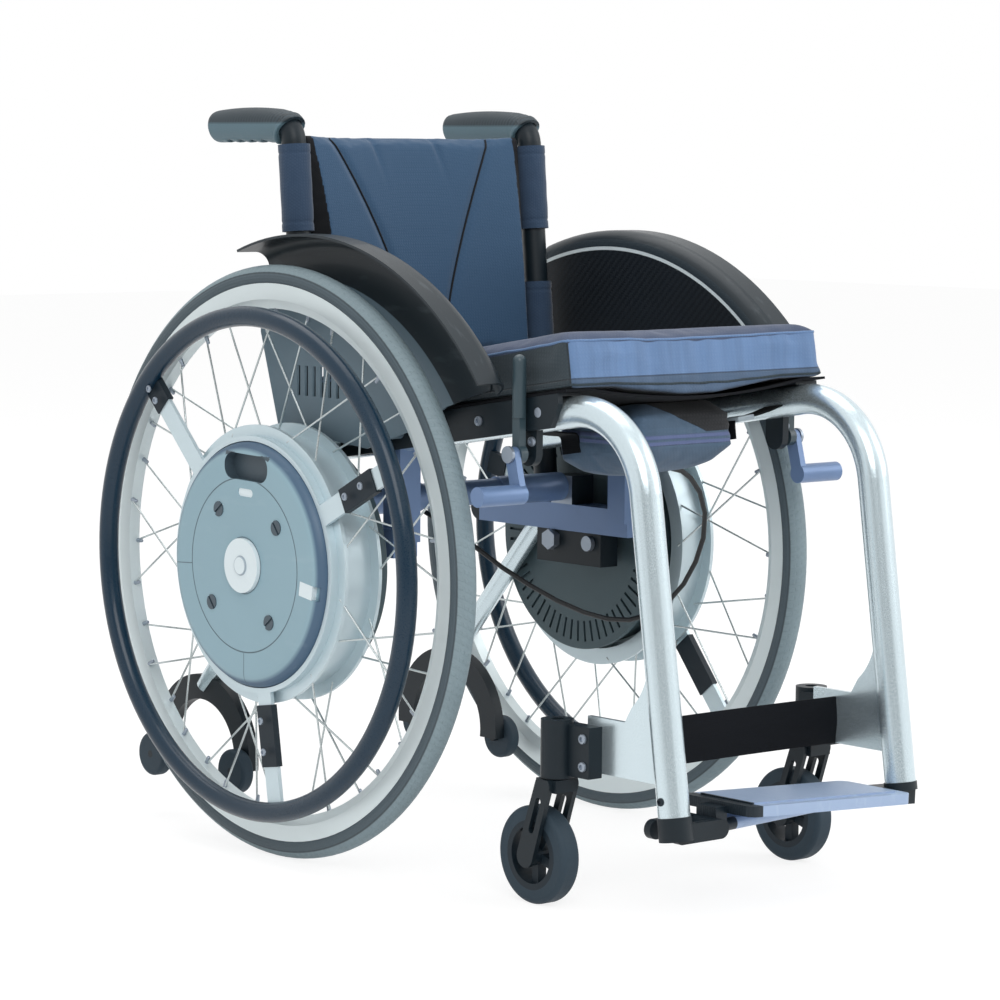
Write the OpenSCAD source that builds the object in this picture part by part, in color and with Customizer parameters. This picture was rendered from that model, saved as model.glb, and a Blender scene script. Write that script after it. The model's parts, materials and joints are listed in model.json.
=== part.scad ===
// Active wheelchair with two power assist drive wheels.
// Millimetres, +Z up, the chair faces -Y. The origin is on the floor, in the middle of the chair's outline.
// Side pieces are drawn for the left side (+X) and mirrored to the right side.

/* [Drive wheels] */
// Outer radius of the rear tyre
wheel_r = 295; // [280:1:310]
// Distance between the middle planes of the two rear tyres
track = 438; // [430:1:470]
// Width of the rear tyre
tyre_w = 25; // [22:1:30]
// Number of spokes on each hub flange, an even number
flange_spokes = 18; // [12:2:20]
// Spoke thickness
spoke_d = 2; // [1.8:0.1:2.5]
// Radius of the spoke flanges of the hub
flange_r = 138; // [134:1:145]
// Distance from the tyre's middle plane to the outer spoke flange
flange_out = 24; // [20:1:27]
// Distance from the tyre's middle plane to the inner spoke flange
flange_in = 17; // [12:1:20]
// Radius of the battery case on the hub
case_r = 122; // [118:1:124]
// How far the battery case stands out from the tyre's middle plane
case_out = 45; // [42:1:48]
// Radius of the battery lid
lid_r = 86; // [80:1:90]

/* [Push rims] */
// Outer radius of the push rim
push_r = 255; // [245:1:262]
// Thickness of the push rim tube
push_d = 20; // [18:1:22]
// Distance from the tyre's middle plane to the push rim
push_out = 37; // [35:1:42]

/* [Frame] */
// Frame tube diameter
tube_d = 30; // [25:1:32]
// Distance from the tyre's middle plane in to the frame tube
tube_inset = 70; // [68:1:72]
// Slope of the seat, down towards the back, in degrees
seat_slope = 8.8; // [6:0.2:11]
// Forward lean of the front tubes, in degrees
leg_lean = 8.3; // [5:0.2:11]
// Bend radius of the frame tube at the knee
knee_bend_r = 84; // [70:1:90]
// Height above the rear axle of the point where the seat line and the front tube line meet
knee_rise = 181; // [175:1:187]
// Distance from the rear axle forward to that point
knee_reach = 444; // [436:1:450]
// Height of the lower end of the front tubes
leg_end_z = 103; // [98:1:110]

/* [Seat and back] */
// How far the cushion reaches past the middle of the frame tubes
cushion_over = 19; // [11:1:21]
// Cushion thickness at its edge
cushion_h = 48; // [40:1:55]
// Height of the push handles above the floor
handle_z = 728; // [700:1:760]
// How far the back posts stand outside the frame tubes
post_offset = 8; // [6:1:9]
// Back post diameter
post_d = 25; // [22:1:26]
// Backward lean of the back posts, in degrees
post_lean = 5; // [3:0.5:7]

/* [Casters] */
// Radius of the caster wheels
caster_r = 46.6; // [42:0.2:50]
// Width of the caster wheels
caster_w = 22; // [18:1:24]
// How far the caster swivels stand outside the frame tubes
caster_offset = 19; // [17:1:21]
// Distance from the rear axle forward to the caster swivels
wheelbase = 359; // [350:1:365]
// How far the caster axle trails behind its swivel
trail = 24; // [20:1:30]

/* [Footplate] */
// Distance from the rear axle to the front edge of the footplate
foot_front = 535; // [530:1:545]
// Depth of the footplate from front to back
foot_depth = 92; // [80:1:96]
// Sideways slope of the footplate, in degrees
foot_tilt = 3; // [1:0.5:4]

/* [Brakes] */
// Length of the brake levers from pivot to tip
lever_len = 93; // [80:1:105]
// Diameter of the round brake lever grip
lever_d = 13; // [11:0.5:14]

/* [Anti-tippers] */
// Radius of the anti-tip arch along its middle line
arch_r = 71; // [62:1:74]
// Radius of the anti-tip rollers
roller_r = 23; // [18:1:25]

/* [Hidden] */
$fn = 64;

// General clearances: a cut's overrun, a gap between still or slow pieces, a running fit
over = 1;
gap = 0.3;
fit = 0.05;

// The chair is drawn with its rear axle over y = 0 and then moved so that its outline is centred
axle_y = (foot_front - wheel_r) / 2;

// Finishes
tyre_grey = "#4d5a63";
silver = "#dbe7ea";
slate = "#5d6a8c";
cover_grey = "#8fa6ae";
black = "#23262b";
white = "#eef4f5";
navy = "#41506f";
motor_grey = "#4b565b";

// Wheel rim section
tyre_mid_r = wheel_r - tyre_w / 2;
rim_w = tyre_w - 2;
rim_flange_h = 5;
rim_flange_t = 2;
bead_r = wheel_r - tyre_w + 2;
rim_edge_r = bead_r + rim_flange_h;
rim_depth = 20;
rim_in_r = bead_r - rim_depth;
rim_spine_w = 13;
rim_shoulder = 9;
spoke_bite = 2;

// Hub
flange_t = 4;
flange_lip = 7;
spoke_hole_r = flange_r - flange_lip;
spoke_side = 1.6;
spoke_rim_side = 3;
drum_r = flange_r - 12;
drum_wall = 5;
hub_wall = 4;
axle_d = 16;
hub_boss_r = 22;
hub_boss_len = 14;
magnet_gap = 1;
case_edge_r = 14;
case_back = flange_out + flange_t / 2 + 0.5;
lid_t = 3;
lid_hole_r = 27;
carrier_t = 6;
carrier_w = 5;

// Battery case details, placed on the wheel's face by angle from the front, upwards
pocket_w = 70;
pocket_h = 26;
pocket_d = 12;
pocket_r = 12;
pocket_mid_r = 97;
pocket_angle = 88;
pill_w = 24;
pill_h = 8;
pill_d = 0.8;
pill_mid_r = 72;
screw_ring_r = 67;
screw_r = 7.5;
screw_count = 4;
screw_phase = 38;
screw_slot_w = 2.4;
screw_slot_d = 1.6;
screw_stand = 1;
latch_mid_r = 101;
latch_angle = -9;
latch_len = 20;
latch_w = 14;
latch_t = 6;
latch_travel = 7;
button_stand = 4;
button_len = 14;
button_dot_r = 9;
button_dot_h = 1.5;

// Motor plate on the inner side of the hub
plate_in = 40;
plate_r = drum_r - drum_wall - magnet_gap;
plate_t = 6;
stator_len = 30;
fin_count = 60;
fin_slot_w = 3;
fin_slot_d = 3;
fin_in_r = 90;
fin_out_r = 112;
nut_r = 11;
nut_t = 8;
nut_sides = 6;

// Push rim arms: angle from the front, then the share of the arm where its black sleeve starts and ends
arm_angles = [27, 135, 279];
sleeve_start_shares = [0.3, 0.7, 0.1];
sleeve_end_shares = [0.75, 0.97, 0.62];
arm_w = 21;
arm_t = 4;
sleeve_grow = 3;
left_wheel_turn = 30;
push_mid_r = push_r - push_d / 2;

// Widths from the chair's middle, which follow the track
tube_x = track / 2 - tube_inset;
post_x = tube_x + post_offset;
caster_x = tube_x + caster_offset;
cushion_w = 2 * (tube_x + cushion_over);

// Frame tube path, in the side view plane (y, z)
knee_z = wheel_r + knee_rise;
turn = 90 + seat_slope - leg_lean;
bend_tan = knee_bend_r * tan(turn / 2);
seat_back_dir = [cos(seat_slope), -sin(seat_slope)];
seat_up_dir = [sin(seat_slope), cos(seat_slope)];
leg_dir = [-sin(leg_lean), -cos(leg_lean)];
knee = [-knee_reach, knee_z];
seat_start = knee + bend_tan * seat_back_dir;
leg_start = knee + bend_tan * leg_dir;
bend_centre = seat_start - knee_bend_r * seat_up_dir;
leg_len = (leg_start[1] - leg_end_z) / cos(leg_lean);
leg_end = leg_start + leg_len * leg_dir;
tube_r = tube_d / 2;
function seat_pt(s, h) = seat_start + s * seat_back_dir + h * seat_up_dir;
function leg_pt(z) = leg_start + (leg_start[1] - z) / cos(leg_lean) * leg_dir;

// Back posts
beam_rise = 25;
beam_z = wheel_r + beam_rise;
beam_h = 28;
beam_w = 30;
beam_offset = 6;
beam_x = tube_x + beam_offset;
beam_top = beam_z + beam_h / 2;
post_r = post_d / 2;
post_bend_r = 18;
post_step = 0.2;
post_foot_y = 27;
grip_len = 106;
grip_r = 15.5;
grip_cap = 6;
grip_round = 7;
grip_wrap = 42;
collar_turn = 13;
collar_r = 17;
finger_notches = 4;
finger_r = 14;
finger_depth = 2.2;
finger_pitch = 19;
finger_start = 24;
grip_lap = 0.3;
post_dir = [sin(post_lean), cos(post_lean)];
post_turn = 90 - post_lean;
post_bend_tan = post_bend_r * tan(post_turn / 2);
post_top_y = post_foot_y + (handle_z - beam_top) * tan(post_lean);
sleeve_r = 16.5;
sleeve_drop = 107;
sleeve_top_drop = 20;
sleeve_low_z = handle_z - sleeve_drop;
sleeve_high_z = handle_z - sleeve_top_drop;
low_sleeve_shares = [0.373, 0.726];
function post_pt(z) = [post_foot_y + (z - beam_top) * tan(post_lean), z];
post_bend_from = post_pt(handle_z) - post_bend_tan * post_dir;

// Side beams, posts and axle blocks
beam_front_y = -118;
beam_rear_y = 118;
beam_cap_r = beam_h / 2;
front_post_w = 26;
post_front_y = post_pt(knee_z - knee_reach * tan(seat_slope))[0] - post_r;
seat_tube_cope = 9;
seat_tube_len = (post_front_y + seat_tube_cope - seat_start[0]) / cos(seat_slope);
post_free_low = seat_pt(seat_tube_len, tube_r)[1];
post_free_len = sleeve_low_z - post_free_low;
block_t = 24;
axle_end_x = beam_x - block_t / 2;
block_front_y = -74;
block_rear_y = 26;
block_low = 24;
bolt_y = -57;
bolt_r = 8;
bolt_stand = 5;
cross_y = -12;
cross_rise = 32;
cross_z = beam_z + cross_rise;
cross_r = 13;
cross_sleeve_r = 15;
cross_sleeve_x = 52;
cross_clamp_w = 40;
cross_clamp_h = 30;
cross_end = beam_x - beam_w / 2;

// Seat rails and sling
rail_t = 6;
rail_low = -13;
rail_high = 22;
rail_len = 330;
rail_flange_t = 3;
rail_flange_in = 8;
rail_front_cut = 14;
rail_x = tube_x + tube_r;
sling_t = 3;
sling_sag = 12;
sling_h = tube_r + rail_flange_t;
sling_half_w = rail_x + rail_t;
sling_free_w = tube_x - rail_flange_in;
sling_len = 372;
sling_front = 12;
sling_steps = 34;

// Cushion form
cushion_front = 18;
cushion_len = 396;
cushion_crown = 5;
cushion_edge_r = 5;
cushion_corner_r = 9;
cushion_draw = 3;
cushion_clear = 1;
cushion_sag = sling_sag - cushion_clear;
cushion_sag_margin = 50;
cushion_sag_w = sling_free_w - cushion_sag_margin;
cushion_lift = sling_h + sling_t + gap;

// Back upholstery form
back_low_share = 0.358;
back_top_drop = 11;
back_low_z = post_free_low + back_low_share * post_free_len;
back_high_z = handle_z - back_top_drop;
back_t = 9;
back_sag = 16;
back_edge_r = 3;
back_edge_share = 0.5;
back_ahead = 20;
back_curve_h = 176;
back_low_inset = 32.5;
back_low_half_w = post_x - back_low_inset;
back_flare = 8;
back_half_w = post_x - sleeve_r - gap;
back_columns = 20;
back_rows = 10;

// Under seat pouch
pouch_w = 134;
pouch_l = 128;
pouch_h = 58;
pouch_front = 6;
pouch_edge_r = 14;
pouch_corner_r = 22;
pouch_crown = 6;
pouch_draw = 4;

// Side guards
guard_ahead = 40;
guard_drop = 7;
guard_centre = [-guard_ahead, wheel_r - guard_drop];
guard_inset = 36;
guard_x = track / 2 - guard_inset;
guard_t = 2.5;
guard_room = 22;
guard_r = wheel_r + guard_room;
lip_roll_r = 16;
lip_lap = 4;
lip_over = 3;
lip_out = track / 2 + lip_over;
lip_start = 71;
lip_turn = 72;
guard_low = -9;
guard_front_y = -284;
guard_top_y = 77;
guard_top_rise = 225;
guard_low_y = 47;
guard_low_rise = 130;
guard_front_h = 29;
guard_step_y = -218;
guard_step_h = 20;
guard_dip_y = -172;
guard_dip_h = 4;
guard_rear_top = [guard_top_y, wheel_r + guard_top_rise];
guard_rear_low = [guard_low_y, wheel_r + guard_low_rise];
guard_boss_r = 7;
guard_bosses = [235, 300];
guard_boss_h = 4;
guard_turn_y = -90;
vent_count = 6;
vent_w = 5;
vent_h = 30;
vent_pitch = 12.5;
vent_rear_y = 14;
vent_rise = 179;
vent_z = wheel_r + vent_rise;

// Casters
swivel_y = -wheelbase;
caster_y = swivel_y + trail;
stem_r = 6;
housing_r = 15.5;
housing_low = 123;
housing_high = 178;
crown_t = 12;
crown_gap = 1;
fork_t = 5;
fork_room = 2.5;
fork_in = caster_w / 2 + fork_room;
crown_half_l = 14;
fork_top_w = 20;
fork_pad_r = 11;
fork_slot_w = 7;
fork_slot_shares = [0.22, 0.62];
caster_axle_r = 4;
caster_rim_out = 33;
caster_rim_in = 27;
caster_hub_r = 10;
caster_spokes = 5;
caster_spoke_w = 9;
caster_spoke_t = 10;
caster_round = 5;
clamp_front = 44;
clamp_low = 126;
clamp_high = 174;
plate_x = tube_x;
caster_plate_t = 5;
caster_plate_low = 130;
caster_plate_high = 182;
caster_plate_flare = 232;
caster_plate_back = 24;
flare_r = 62;
rivet_r = 3.5;
rivet_h = 1.2;

// Calf strap
strap_h = 46;
strap_z = 153;
strap_t = 2.5;
strap_shift = 11;
strap_y = (leg_pt(strap_z)[0] + swivel_y) / 2 + strap_shift;

// Footplate
foot_hinge_inset = 49;
foot_hinge_x = foot_hinge_inset - tube_x;
foot_hinge_z = 88;
foot_t = 10;
foot_top = 23;
foot_near = 12;
foot_end_gap = 7;
foot_far = tube_x - tube_r - foot_hinge_x - foot_end_gap;
foot_corner = 10;
tread_t = 1.5;
tread_margin = 12;
foot_knuckle_r = 9;
foot_pin_r = 4;
knuckle_len = 26;
strut_w = 12;
strut_inset = 14;
strut_end_gap = 77;
strut_len = foot_far - strut_end_gap;
hinge_wall = 8;
hinge_cap_len = 22;
cap_grow = 1;
rest_cap_len = 8;
rest_gap = 2.5;
ledge_w = 30;
ledge_t = 6;
ledge_lap = 20;

// Brakes
pivot_ahead = 17;
pivot_rise = 127;
pivot = [-wheel_r - pivot_ahead, wheel_r + pivot_rise];
bracket_offset = 9;
bracket_x = tube_x + bracket_offset;
bracket_t = 8;
bracket_round = 12;
brake_offset = 24;
brake_layer = tube_x + brake_offset;
brake_t = 8;
brake_pin_r = 4;
lever_hub_r = 9;
lever_neck = 34;
lever_neck_w = 10;
shoe_layer = brake_layer + brake_t + gap;
shoe_arm_t = 7;
shoe_arm_len = 38;
shoe_arm_w = 14;
shoe_rest = -15;
shoe_r = 9.5;
shoe_lap = 4.5;
shoe_out = track / 2 + tyre_w / 2 + shoe_lap;
pivot_head_x = shoe_layer + shoe_arm_t + gap;
pivot_head_r = 8;
pivot_head_t = 3;

// Anti-tippers
arch_centre = [197, 72];
arch_offset = 12;
arch_x = beam_x + arch_offset;
arch_w = 26;
arch_t = 12;
arch_leg_drop = 8;
tip_tube_r = 10;
tip_tube_dip = 2;
tip_tube_top = [42, beam_z - tip_tube_dip];
tip_tube_wall_y = 24;
roller_w = 15;
roller_round = 4;
roller_pin_r = 4;

// Control cable: hand-chosen points of its route, with heights from the rear axle
cable_r = 2.5;
cable_sides = 8;
cable_points = [
    [-44, -12, 41.4], [-34, -42, 25], [-14, -62, 5], [4, -80, -14], [24, -98, -31], [46, -116, -47],
    [68, -132, -59], [88, -146, -66], [105, -160, -67], [118, -176, -61], [127, -194, -47],
    [132, -212, -27], [133, -228, -3], [130, -242, 23], [122, -252, 49], [108, -259, 71],
    [90, -264, 87], [74, -268, 95], [56, -269, 99]];
cable_route = [for (p = cable_points) p + [0, 0, wheel_r]];

// Placing helpers
module chair() {
    translate([0, axle_y, 0]) children();
}

module left() {
    chair() children();
}

module right() {
    chair() mirror([1, 0, 0]) children();
}

module both() {
    left() children();
    right() children();
}

// Draws a side view outline (y, z) as a slab of thickness t that starts at x
module side_slab(x, t) {
    translate([x, 0, 0]) rotate([90, 0, 90]) linear_extrude(t) children();
}

// A round bar between two points
module rod(p, q, r) {
    d = q - p;
    len = norm(d);
    translate(p) rotate([0, acos(d[2] / len), atan2(d[1], d[0])]) cylinder(h = len, r = r);
}

// A bent tube about the middle of its bend: a straight run, the bend from angle 0, another straight run.
// The bend is drawn thinner by a small step and the straight runs lap into it.
module bent_tube(r, step, bend_r, bend_angle, before, after) {
    rotate_extrude(angle = bend_angle) translate([bend_r, 0]) circle(r - step);
    translate([bend_r, over, 0]) rotate([90, 0, 0]) cylinder(h = before + over, r = r);
    rotate([0, 0, bend_angle]) translate([bend_r, -over, 0]) rotate([-90, 0, 0])
        cylinder(h = after + over, r = r);
}

// A flat bar outline with round ends between two points
module bar_outline(p, q, w_start, w_end) {
    d = (q - p) / norm(q - p);
    side = [-d[1], d[0]];
    translate(p) circle(d = w_start);
    translate(q) circle(d = w_end);
    polygon([p + side * w_start / 2, p - side * w_start / 2, q - side * w_end / 2, q + side * w_end / 2]);
}

// A rectangle outline with round corners, centred
module round_rect(w, h, r) {
    square([w - 2 * r, h], center = true);
    square([w, h - 2 * r], center = true);
    for (sx = [-1, 1], sy = [-1, 1]) {
        translate([sx * (w / 2 - r), sy * (h / 2 - r)]) circle(r);
    }
}

// Wheel space: the axis runs outwards along +X from the tyre's middle plane
module on_wheel() {
    translate([track / 2, 0, wheel_r]) rotate([0, 90, 0]) children();
}

// Turns a piece on the wheel's face to an angle from the front, upwards, with its own +X pointing outwards
module at_angle(a) {
    rotate([0, 0, -90 - a]) children();
}

// A soft block: rings of a rectangle with round corners, drawn in along its sides, with a crowned top.
// sag lowers its underside within the free width.
soft_corner_steps = 3;
soft_side_steps = 7;

function corner_loop(w, l, r) = [
    for (q = [0 : 3])
        let (mid = [(q == 0 || q == 3 ? 1 : -1) * (w / 2 - r), (q < 2 ? 1 : -1) * (l / 2 - r)],
             next = [(q > 1 ? 1 : -1) * (w / 2 - r), (q == 0 || q == 3 ? 1 : -1) * (l / 2 - r)],
             out = r * [cos(90 * (q + 1)), sin(90 * (q + 1))])
        each concat(
            [for (k = [0 : soft_corner_steps])
                let (a = 90 * (q + k / soft_corner_steps))
                mid + r * [cos(a), sin(a)]],
            [for (k = [1 : soft_side_steps - 1])
                mid + out + (next - mid) * k / soft_side_steps])];

function drawn_in(p, w, l, draw) =
    let (x = 2 * p[0] / w, y = 2 * p[1] / l)
    [p[0] - x * draw * (1 - y * y), p[1] - y * draw * (1 - x * x)];

module soft_block(w, l, h, edge, corner, crown, draw, sag, free_w) {
    inner_shares = [0.85, 0.6, 0.3];
    function ring(share, inset, z, drop, rise) =
        let (ring_w = w - 2 * inset, ring_l = l - 2 * inset)
        [for (c = corner_loop(ring_w, ring_l, corner))
            let (p = drawn_in(c, ring_w, ring_l, draw) * share,
                 mid = max(0, 1 - pow(p[0] / free_w, 2)))
            [p[0], p[1], z - drop * mid + rise * (1 - share * share)]];
    sides = len(corner_loop(w, l, corner));
    rings = concat(
        [for (i = [0 : 2]) ring(inner_shares[2 - i], edge, 0, sag, 0)],
        [ring(1, edge, 0, sag, 0), ring(1, 0, edge, sag, 0)],
        [ring(1, 0, h - edge, 0, 0), ring(1, edge, h, 0, 0)],
        [for (i = [0 : 2]) ring(inner_shares[i], edge, h, 0, crown)]);
    count = len(rings);
    points = concat([[0, 0, -sag]], [for (r = rings) for (p = r) p], [[0, 0, h + crown]]);
    last = len(points) - 1;
    faces = concat(
        [for (i = [0 : sides - 1]) [0, 1 + i, 1 + (i + 1) % sides]],
        [for (k = [0 : count - 2], i = [0 : sides - 1])
            let (a = 1 + k * sides + i, b = 1 + k * sides + (i + 1) % sides)
            each [[a, a + sides, b], [b, a + sides, b + sides]]],
        [for (i = [0 : sides - 1])
            let (top = 1 + (count - 1) * sides)
            [last, top + (i + 1) % sides, top + i]]);
    polyhedron(points, faces);
}

// A round cord swept along its route
function unit(v) = v / norm(v);
function route_dir(route, i) =
    unit(route[min(i + 1, len(route) - 1)] - route[max(i - 1, 0)]);

module cord(route, r, sides) {
    rings = [for (i = [0 : len(route) - 1])
        let (d = route_dir(route, i), across = unit(cross(d, [0, 0, 1])), up = cross(across, d))
        [for (k = [0 : sides - 1])
            route[i] + r * (cos(360 * k / sides) * across + sin(360 * k / sides) * up)]];
    count = len(rings);
    points = [for (ring = rings) for (p = ring) p];
    faces = concat(
        [[for (k = [0 : sides - 1]) k]],
        [for (i = [0 : count - 2], k = [0 : sides - 1])
            let (a = i * sides + k, b = i * sides + (k + 1) % sides)
            each [[a, a + sides, b], [b, a + sides, b + sides]]],
        [[for (k = [sides - 1 : -1 : 0]) (count - 1) * sides + k]]);
    polyhedron(points, faces);
}

// Drive wheel pieces
module rim_section() {
    half = rim_w / 2;
    inner = half - rim_flange_t;
    spine = rim_spine_w / 2;
    polygon([
        [rim_in_r, -spine], [rim_in_r + rim_shoulder, -half], [rim_edge_r, -half], [rim_edge_r, -inner],
        [bead_r, -inner], [bead_r, inner], [rim_edge_r, inner], [rim_edge_r, half],
        [rim_in_r + rim_shoulder, half], [rim_in_r, spine]]);
}

module tyre() {
    color(tyre_grey) on_wheel() rotate_extrude() difference() {
        translate([tyre_mid_r, 0]) circle(d = tyre_w);
        rim_section();
        translate([0, -tyre_w]) square([bead_r, 2 * tyre_w]);
    }
}

module rim() {
    color(silver) on_wheel() rotate_extrude() rim_section();
}

// One spoke from the flange at height u to the rim, leaning by one flange step
module spoke(u, hub_angle, lean, rim_u) {
    side = lean > 0 ? spoke_side : -spoke_side;
    rim_angle = hub_angle + lean;
    end_r = rim_in_r + spoke_bite;
    rod([spoke_hole_r * cos(hub_angle), spoke_hole_r * sin(hub_angle), u + side],
        [end_r * cos(rim_angle), end_r * sin(rim_angle), rim_u + side], spoke_d / 2);
}

module spokes() {
    step = 360 / flange_spokes;
    color(silver) on_wheel() for (i = [0 : flange_spokes - 1]) {
        lean = i % 2 == 0 ? step : -step;
        spoke(flange_out, i * step, lean, spoke_rim_side);
        spoke(-flange_in, (i + 0.5) * step, lean, -spoke_rim_side);
    }
}

// The rotating drum of the hub motor: two flanges, a drum wall and an outer wall with the bearing boss
module hub_shell() {
    half = flange_t / 2;
    front = flange_out + half;
    back = -flange_in - half;
    inner_r = drum_r - drum_wall;
    color(silver) on_wheel() difference() {
        rotate_extrude() polygon([
            [axle_d / 2 + fit, front], [flange_r, front], [flange_r, front - flange_t],
            [drum_r, front - flange_t], [drum_r, back + flange_t],
            [flange_r, back + flange_t], [flange_r, back],
            [inner_r, back], [inner_r, front - hub_wall], [hub_boss_r, front - hub_wall],
            [hub_boss_r, front - hub_boss_len], [axle_d / 2 + fit, front - hub_boss_len]]);
    }
}

module case_pocket() {
    translate([0, 0, case_out - pocket_d]) linear_extrude(pocket_d + over)
        at_angle(pocket_angle) translate([pocket_mid_r, 0]) round_rect(pocket_h, pocket_w, pocket_r);
}

module latch_slot() {
    at_angle(latch_angle) translate([latch_mid_r + latch_travel / 2, 0, case_out - latch_t - fit])
        linear_extrude(latch_t + over)
            square([latch_len + latch_travel + 2 * gap, latch_w + 2 * fit], center = true);
}

// The battery case: a round cover with a rolled edge, a lid recess, a grip pocket and the latch's slot
module battery_case() {
    color(cover_grey) on_wheel() difference() {
        rotate_extrude() difference() {
            union() {
                translate([0, case_back]) square([case_r, case_out - case_back - case_edge_r]);
                translate([0, case_back]) square([case_r - case_edge_r, case_out - case_back]);
                translate([case_r - case_edge_r, case_out - case_edge_r]) circle(case_edge_r);
            }
            translate([-case_r, -case_out]) square([2 * case_r, case_out + case_back]);
            translate([-over, 0]) square([lid_hole_r + fit + over, case_out + over]);
            translate([-case_r, -case_out]) square([case_r, 3 * case_out]);
            translate([0, case_out - lid_t]) square([lid_r + gap, lid_t + over]);
        }
        case_pocket();
        latch_slot();
    }
}

module screw_ring() {
    for (i = [0 : screw_count - 1]) at_angle(screw_phase + i * 360 / screw_count)
        translate([screw_ring_r, 0, 0]) children();
}

module battery_lid() {
    color(cover_grey) on_wheel() difference() {
        translate([0, 0, case_out - lid_t]) cylinder(h = lid_t, r = lid_r);
        translate([0, 0, case_out - lid_t - over]) cylinder(h = lid_t + 2 * over, r = lid_hole_r + fit);
        screw_ring() translate([0, 0, case_out - lid_t - over])
            cylinder(h = lid_t + 2 * over, r = screw_r + fit);
        case_pocket();
        at_angle(pocket_angle) translate([pill_mid_r, 0, case_out - pill_d]) linear_extrude(pill_d + over)
            bar_outline([0, (pill_h - pill_w) / 2], [0, (pill_w - pill_h) / 2], pill_h, pill_h);
    }
}

module lid_screws() {
    color(black) on_wheel() screw_ring() difference() {
        translate([0, 0, case_out - lid_t]) cylinder(h = lid_t + screw_stand, r = screw_r);
        translate([-screw_slot_w / 2, -screw_r - over, case_out + screw_stand - screw_slot_d])
            cube([screw_slot_w, 2 * (screw_r + over), screw_slot_d + over]);
    }
}

// The push button of the quick-release axle
module axle_button() {
    color(white) on_wheel() {
        translate([0, 0, case_out + button_stand - button_len]) cylinder(h = button_len, r = lid_hole_r);
        translate([0, 0, case_out + button_stand]) cylinder(h = button_dot_h, r = button_dot_r);
    }
}

module battery_latch() {
    color(white) on_wheel() at_angle(latch_angle) translate([latch_mid_r, 0, case_out - latch_t])
        linear_extrude(latch_t) square([latch_len, latch_w], center = true);
}

module push_rim() {
    color(tyre_grey) on_wheel() rotate_extrude() translate([push_mid_r, push_out]) circle(d = push_d);
}

module arm_strip(from_r, to_r, grow) {
    translate([(from_r + to_r) / 2, 0, push_out - arm_t]) linear_extrude(arm_t + grow, center = true)
        square([to_r - from_r, arm_w + grow], center = true);
}

// The carrier ring on the hub with the three arms that hold the push rim, and their sleeves
module rim_arms() {
    from_r = case_r + gap;
    to_r = push_mid_r;
    ring_low = flange_out + flange_t / 2 + fit;
    ring_high = push_out - arm_t / 2;
    on_wheel() {
        color(silver) difference() {
            union() {
                translate([0, 0, ring_low]) difference() {
                    cylinder(h = ring_high - ring_low, r = from_r + carrier_w);
                    translate([0, 0, -over]) cylinder(h = ring_high - ring_low + 2 * over, r = from_r);
                }
                for (i = [0 : len(arm_angles) - 1]) at_angle(arm_angles[i]) {
                    sleeve_from = from_r + carrier_w + sleeve_start_shares[i] * (to_r - from_r - carrier_w);
                    sleeve_to = from_r + carrier_w + sleeve_end_shares[i] * (to_r - from_r - carrier_w);
                    arm_strip(from_r + carrier_w / 2, to_r, 0);
                    arm_strip(sleeve_from, sleeve_to, sleeve_grow);
                }
            }
            rotate_extrude() translate([push_mid_r, push_out]) circle(d = push_d);
        }
    }
}

// The still part of the hub motor: the inner plate with its cooling fins, the winding block and the axle
module motor_plate() {
    color(motor_grey) on_wheel() {
        difference() {
            union() {
                translate([0, 0, -plate_in]) cylinder(h = plate_t, r = plate_r);
                translate([0, 0, -plate_in]) cylinder(h = plate_t + stator_len, r = plate_r - plate_t);
                translate([0, 0, axle_end_x - track / 2])
                    cylinder(h = track / 2 - axle_end_x + flange_out, r = axle_d / 2);
            }
            for (i = [0 : fin_count - 1]) rotate([0, 0, i * 360 / fin_count])
                translate([fin_in_r, -fin_slot_w / 2, -plate_in - over])
                    cube([fin_out_r - fin_in_r, fin_slot_w, fin_slot_d + over]);
        }
        translate([0, 0, axle_end_x - track / 2 - nut_t]) cylinder(h = nut_t, r = nut_r, $fn = nut_sides);
    }
}

// Frame
module side_tube() {
    color(silver) difference() {
        translate([tube_x, 0, 0]) rotate([90, 0, 90]) translate(bend_centre)
            rotate([0, 0, 90 - seat_slope]) bent_tube(tube_r, fit, knee_bend_r, turn, seat_tube_len, leg_len);
        post_space(fit);
    }
}

// The straight run of a back post, for cuts
module post_space(grow) {
    foot = post_pt(beam_top);
    top = post_pt(handle_z);
    rod([post_x, foot[0], foot[1]], [post_x, top[0], top[1]], post_r + grow);
}

module seat_tube_space(grow) {
    front = seat_pt(-knee_bend_r, 0);
    back = seat_pt(seat_tube_len + knee_bend_r, 0);
    rod([tube_x, front[0], front[1]], [tube_x, back[0], back[1]], tube_r + grow);
}

module leg_space(grow) {
    rod([tube_x, leg_start[0], leg_start[1]], [tube_x, leg_end[0], leg_end[1]], tube_r + grow);
}

// Black rails outside the seat tubes, with a flange over the tube that carries the seat sling
module seat_rails() {
    color(black) both() {
        side_slab(rail_x, rail_t) polygon([
            seat_pt(rail_front_cut, rail_low), seat_pt(0, rail_high - rail_front_cut), seat_pt(0, sling_h),
            seat_pt(rail_len, sling_h), seat_pt(rail_len, rail_low)]);
        side_slab(tube_x - rail_flange_in, tube_r + rail_t + rail_flange_in) polygon([
            seat_pt(0, tube_r), seat_pt(0, sling_h), seat_pt(rail_len, sling_h), seat_pt(rail_len, tube_r)]);
    }
}

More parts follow.
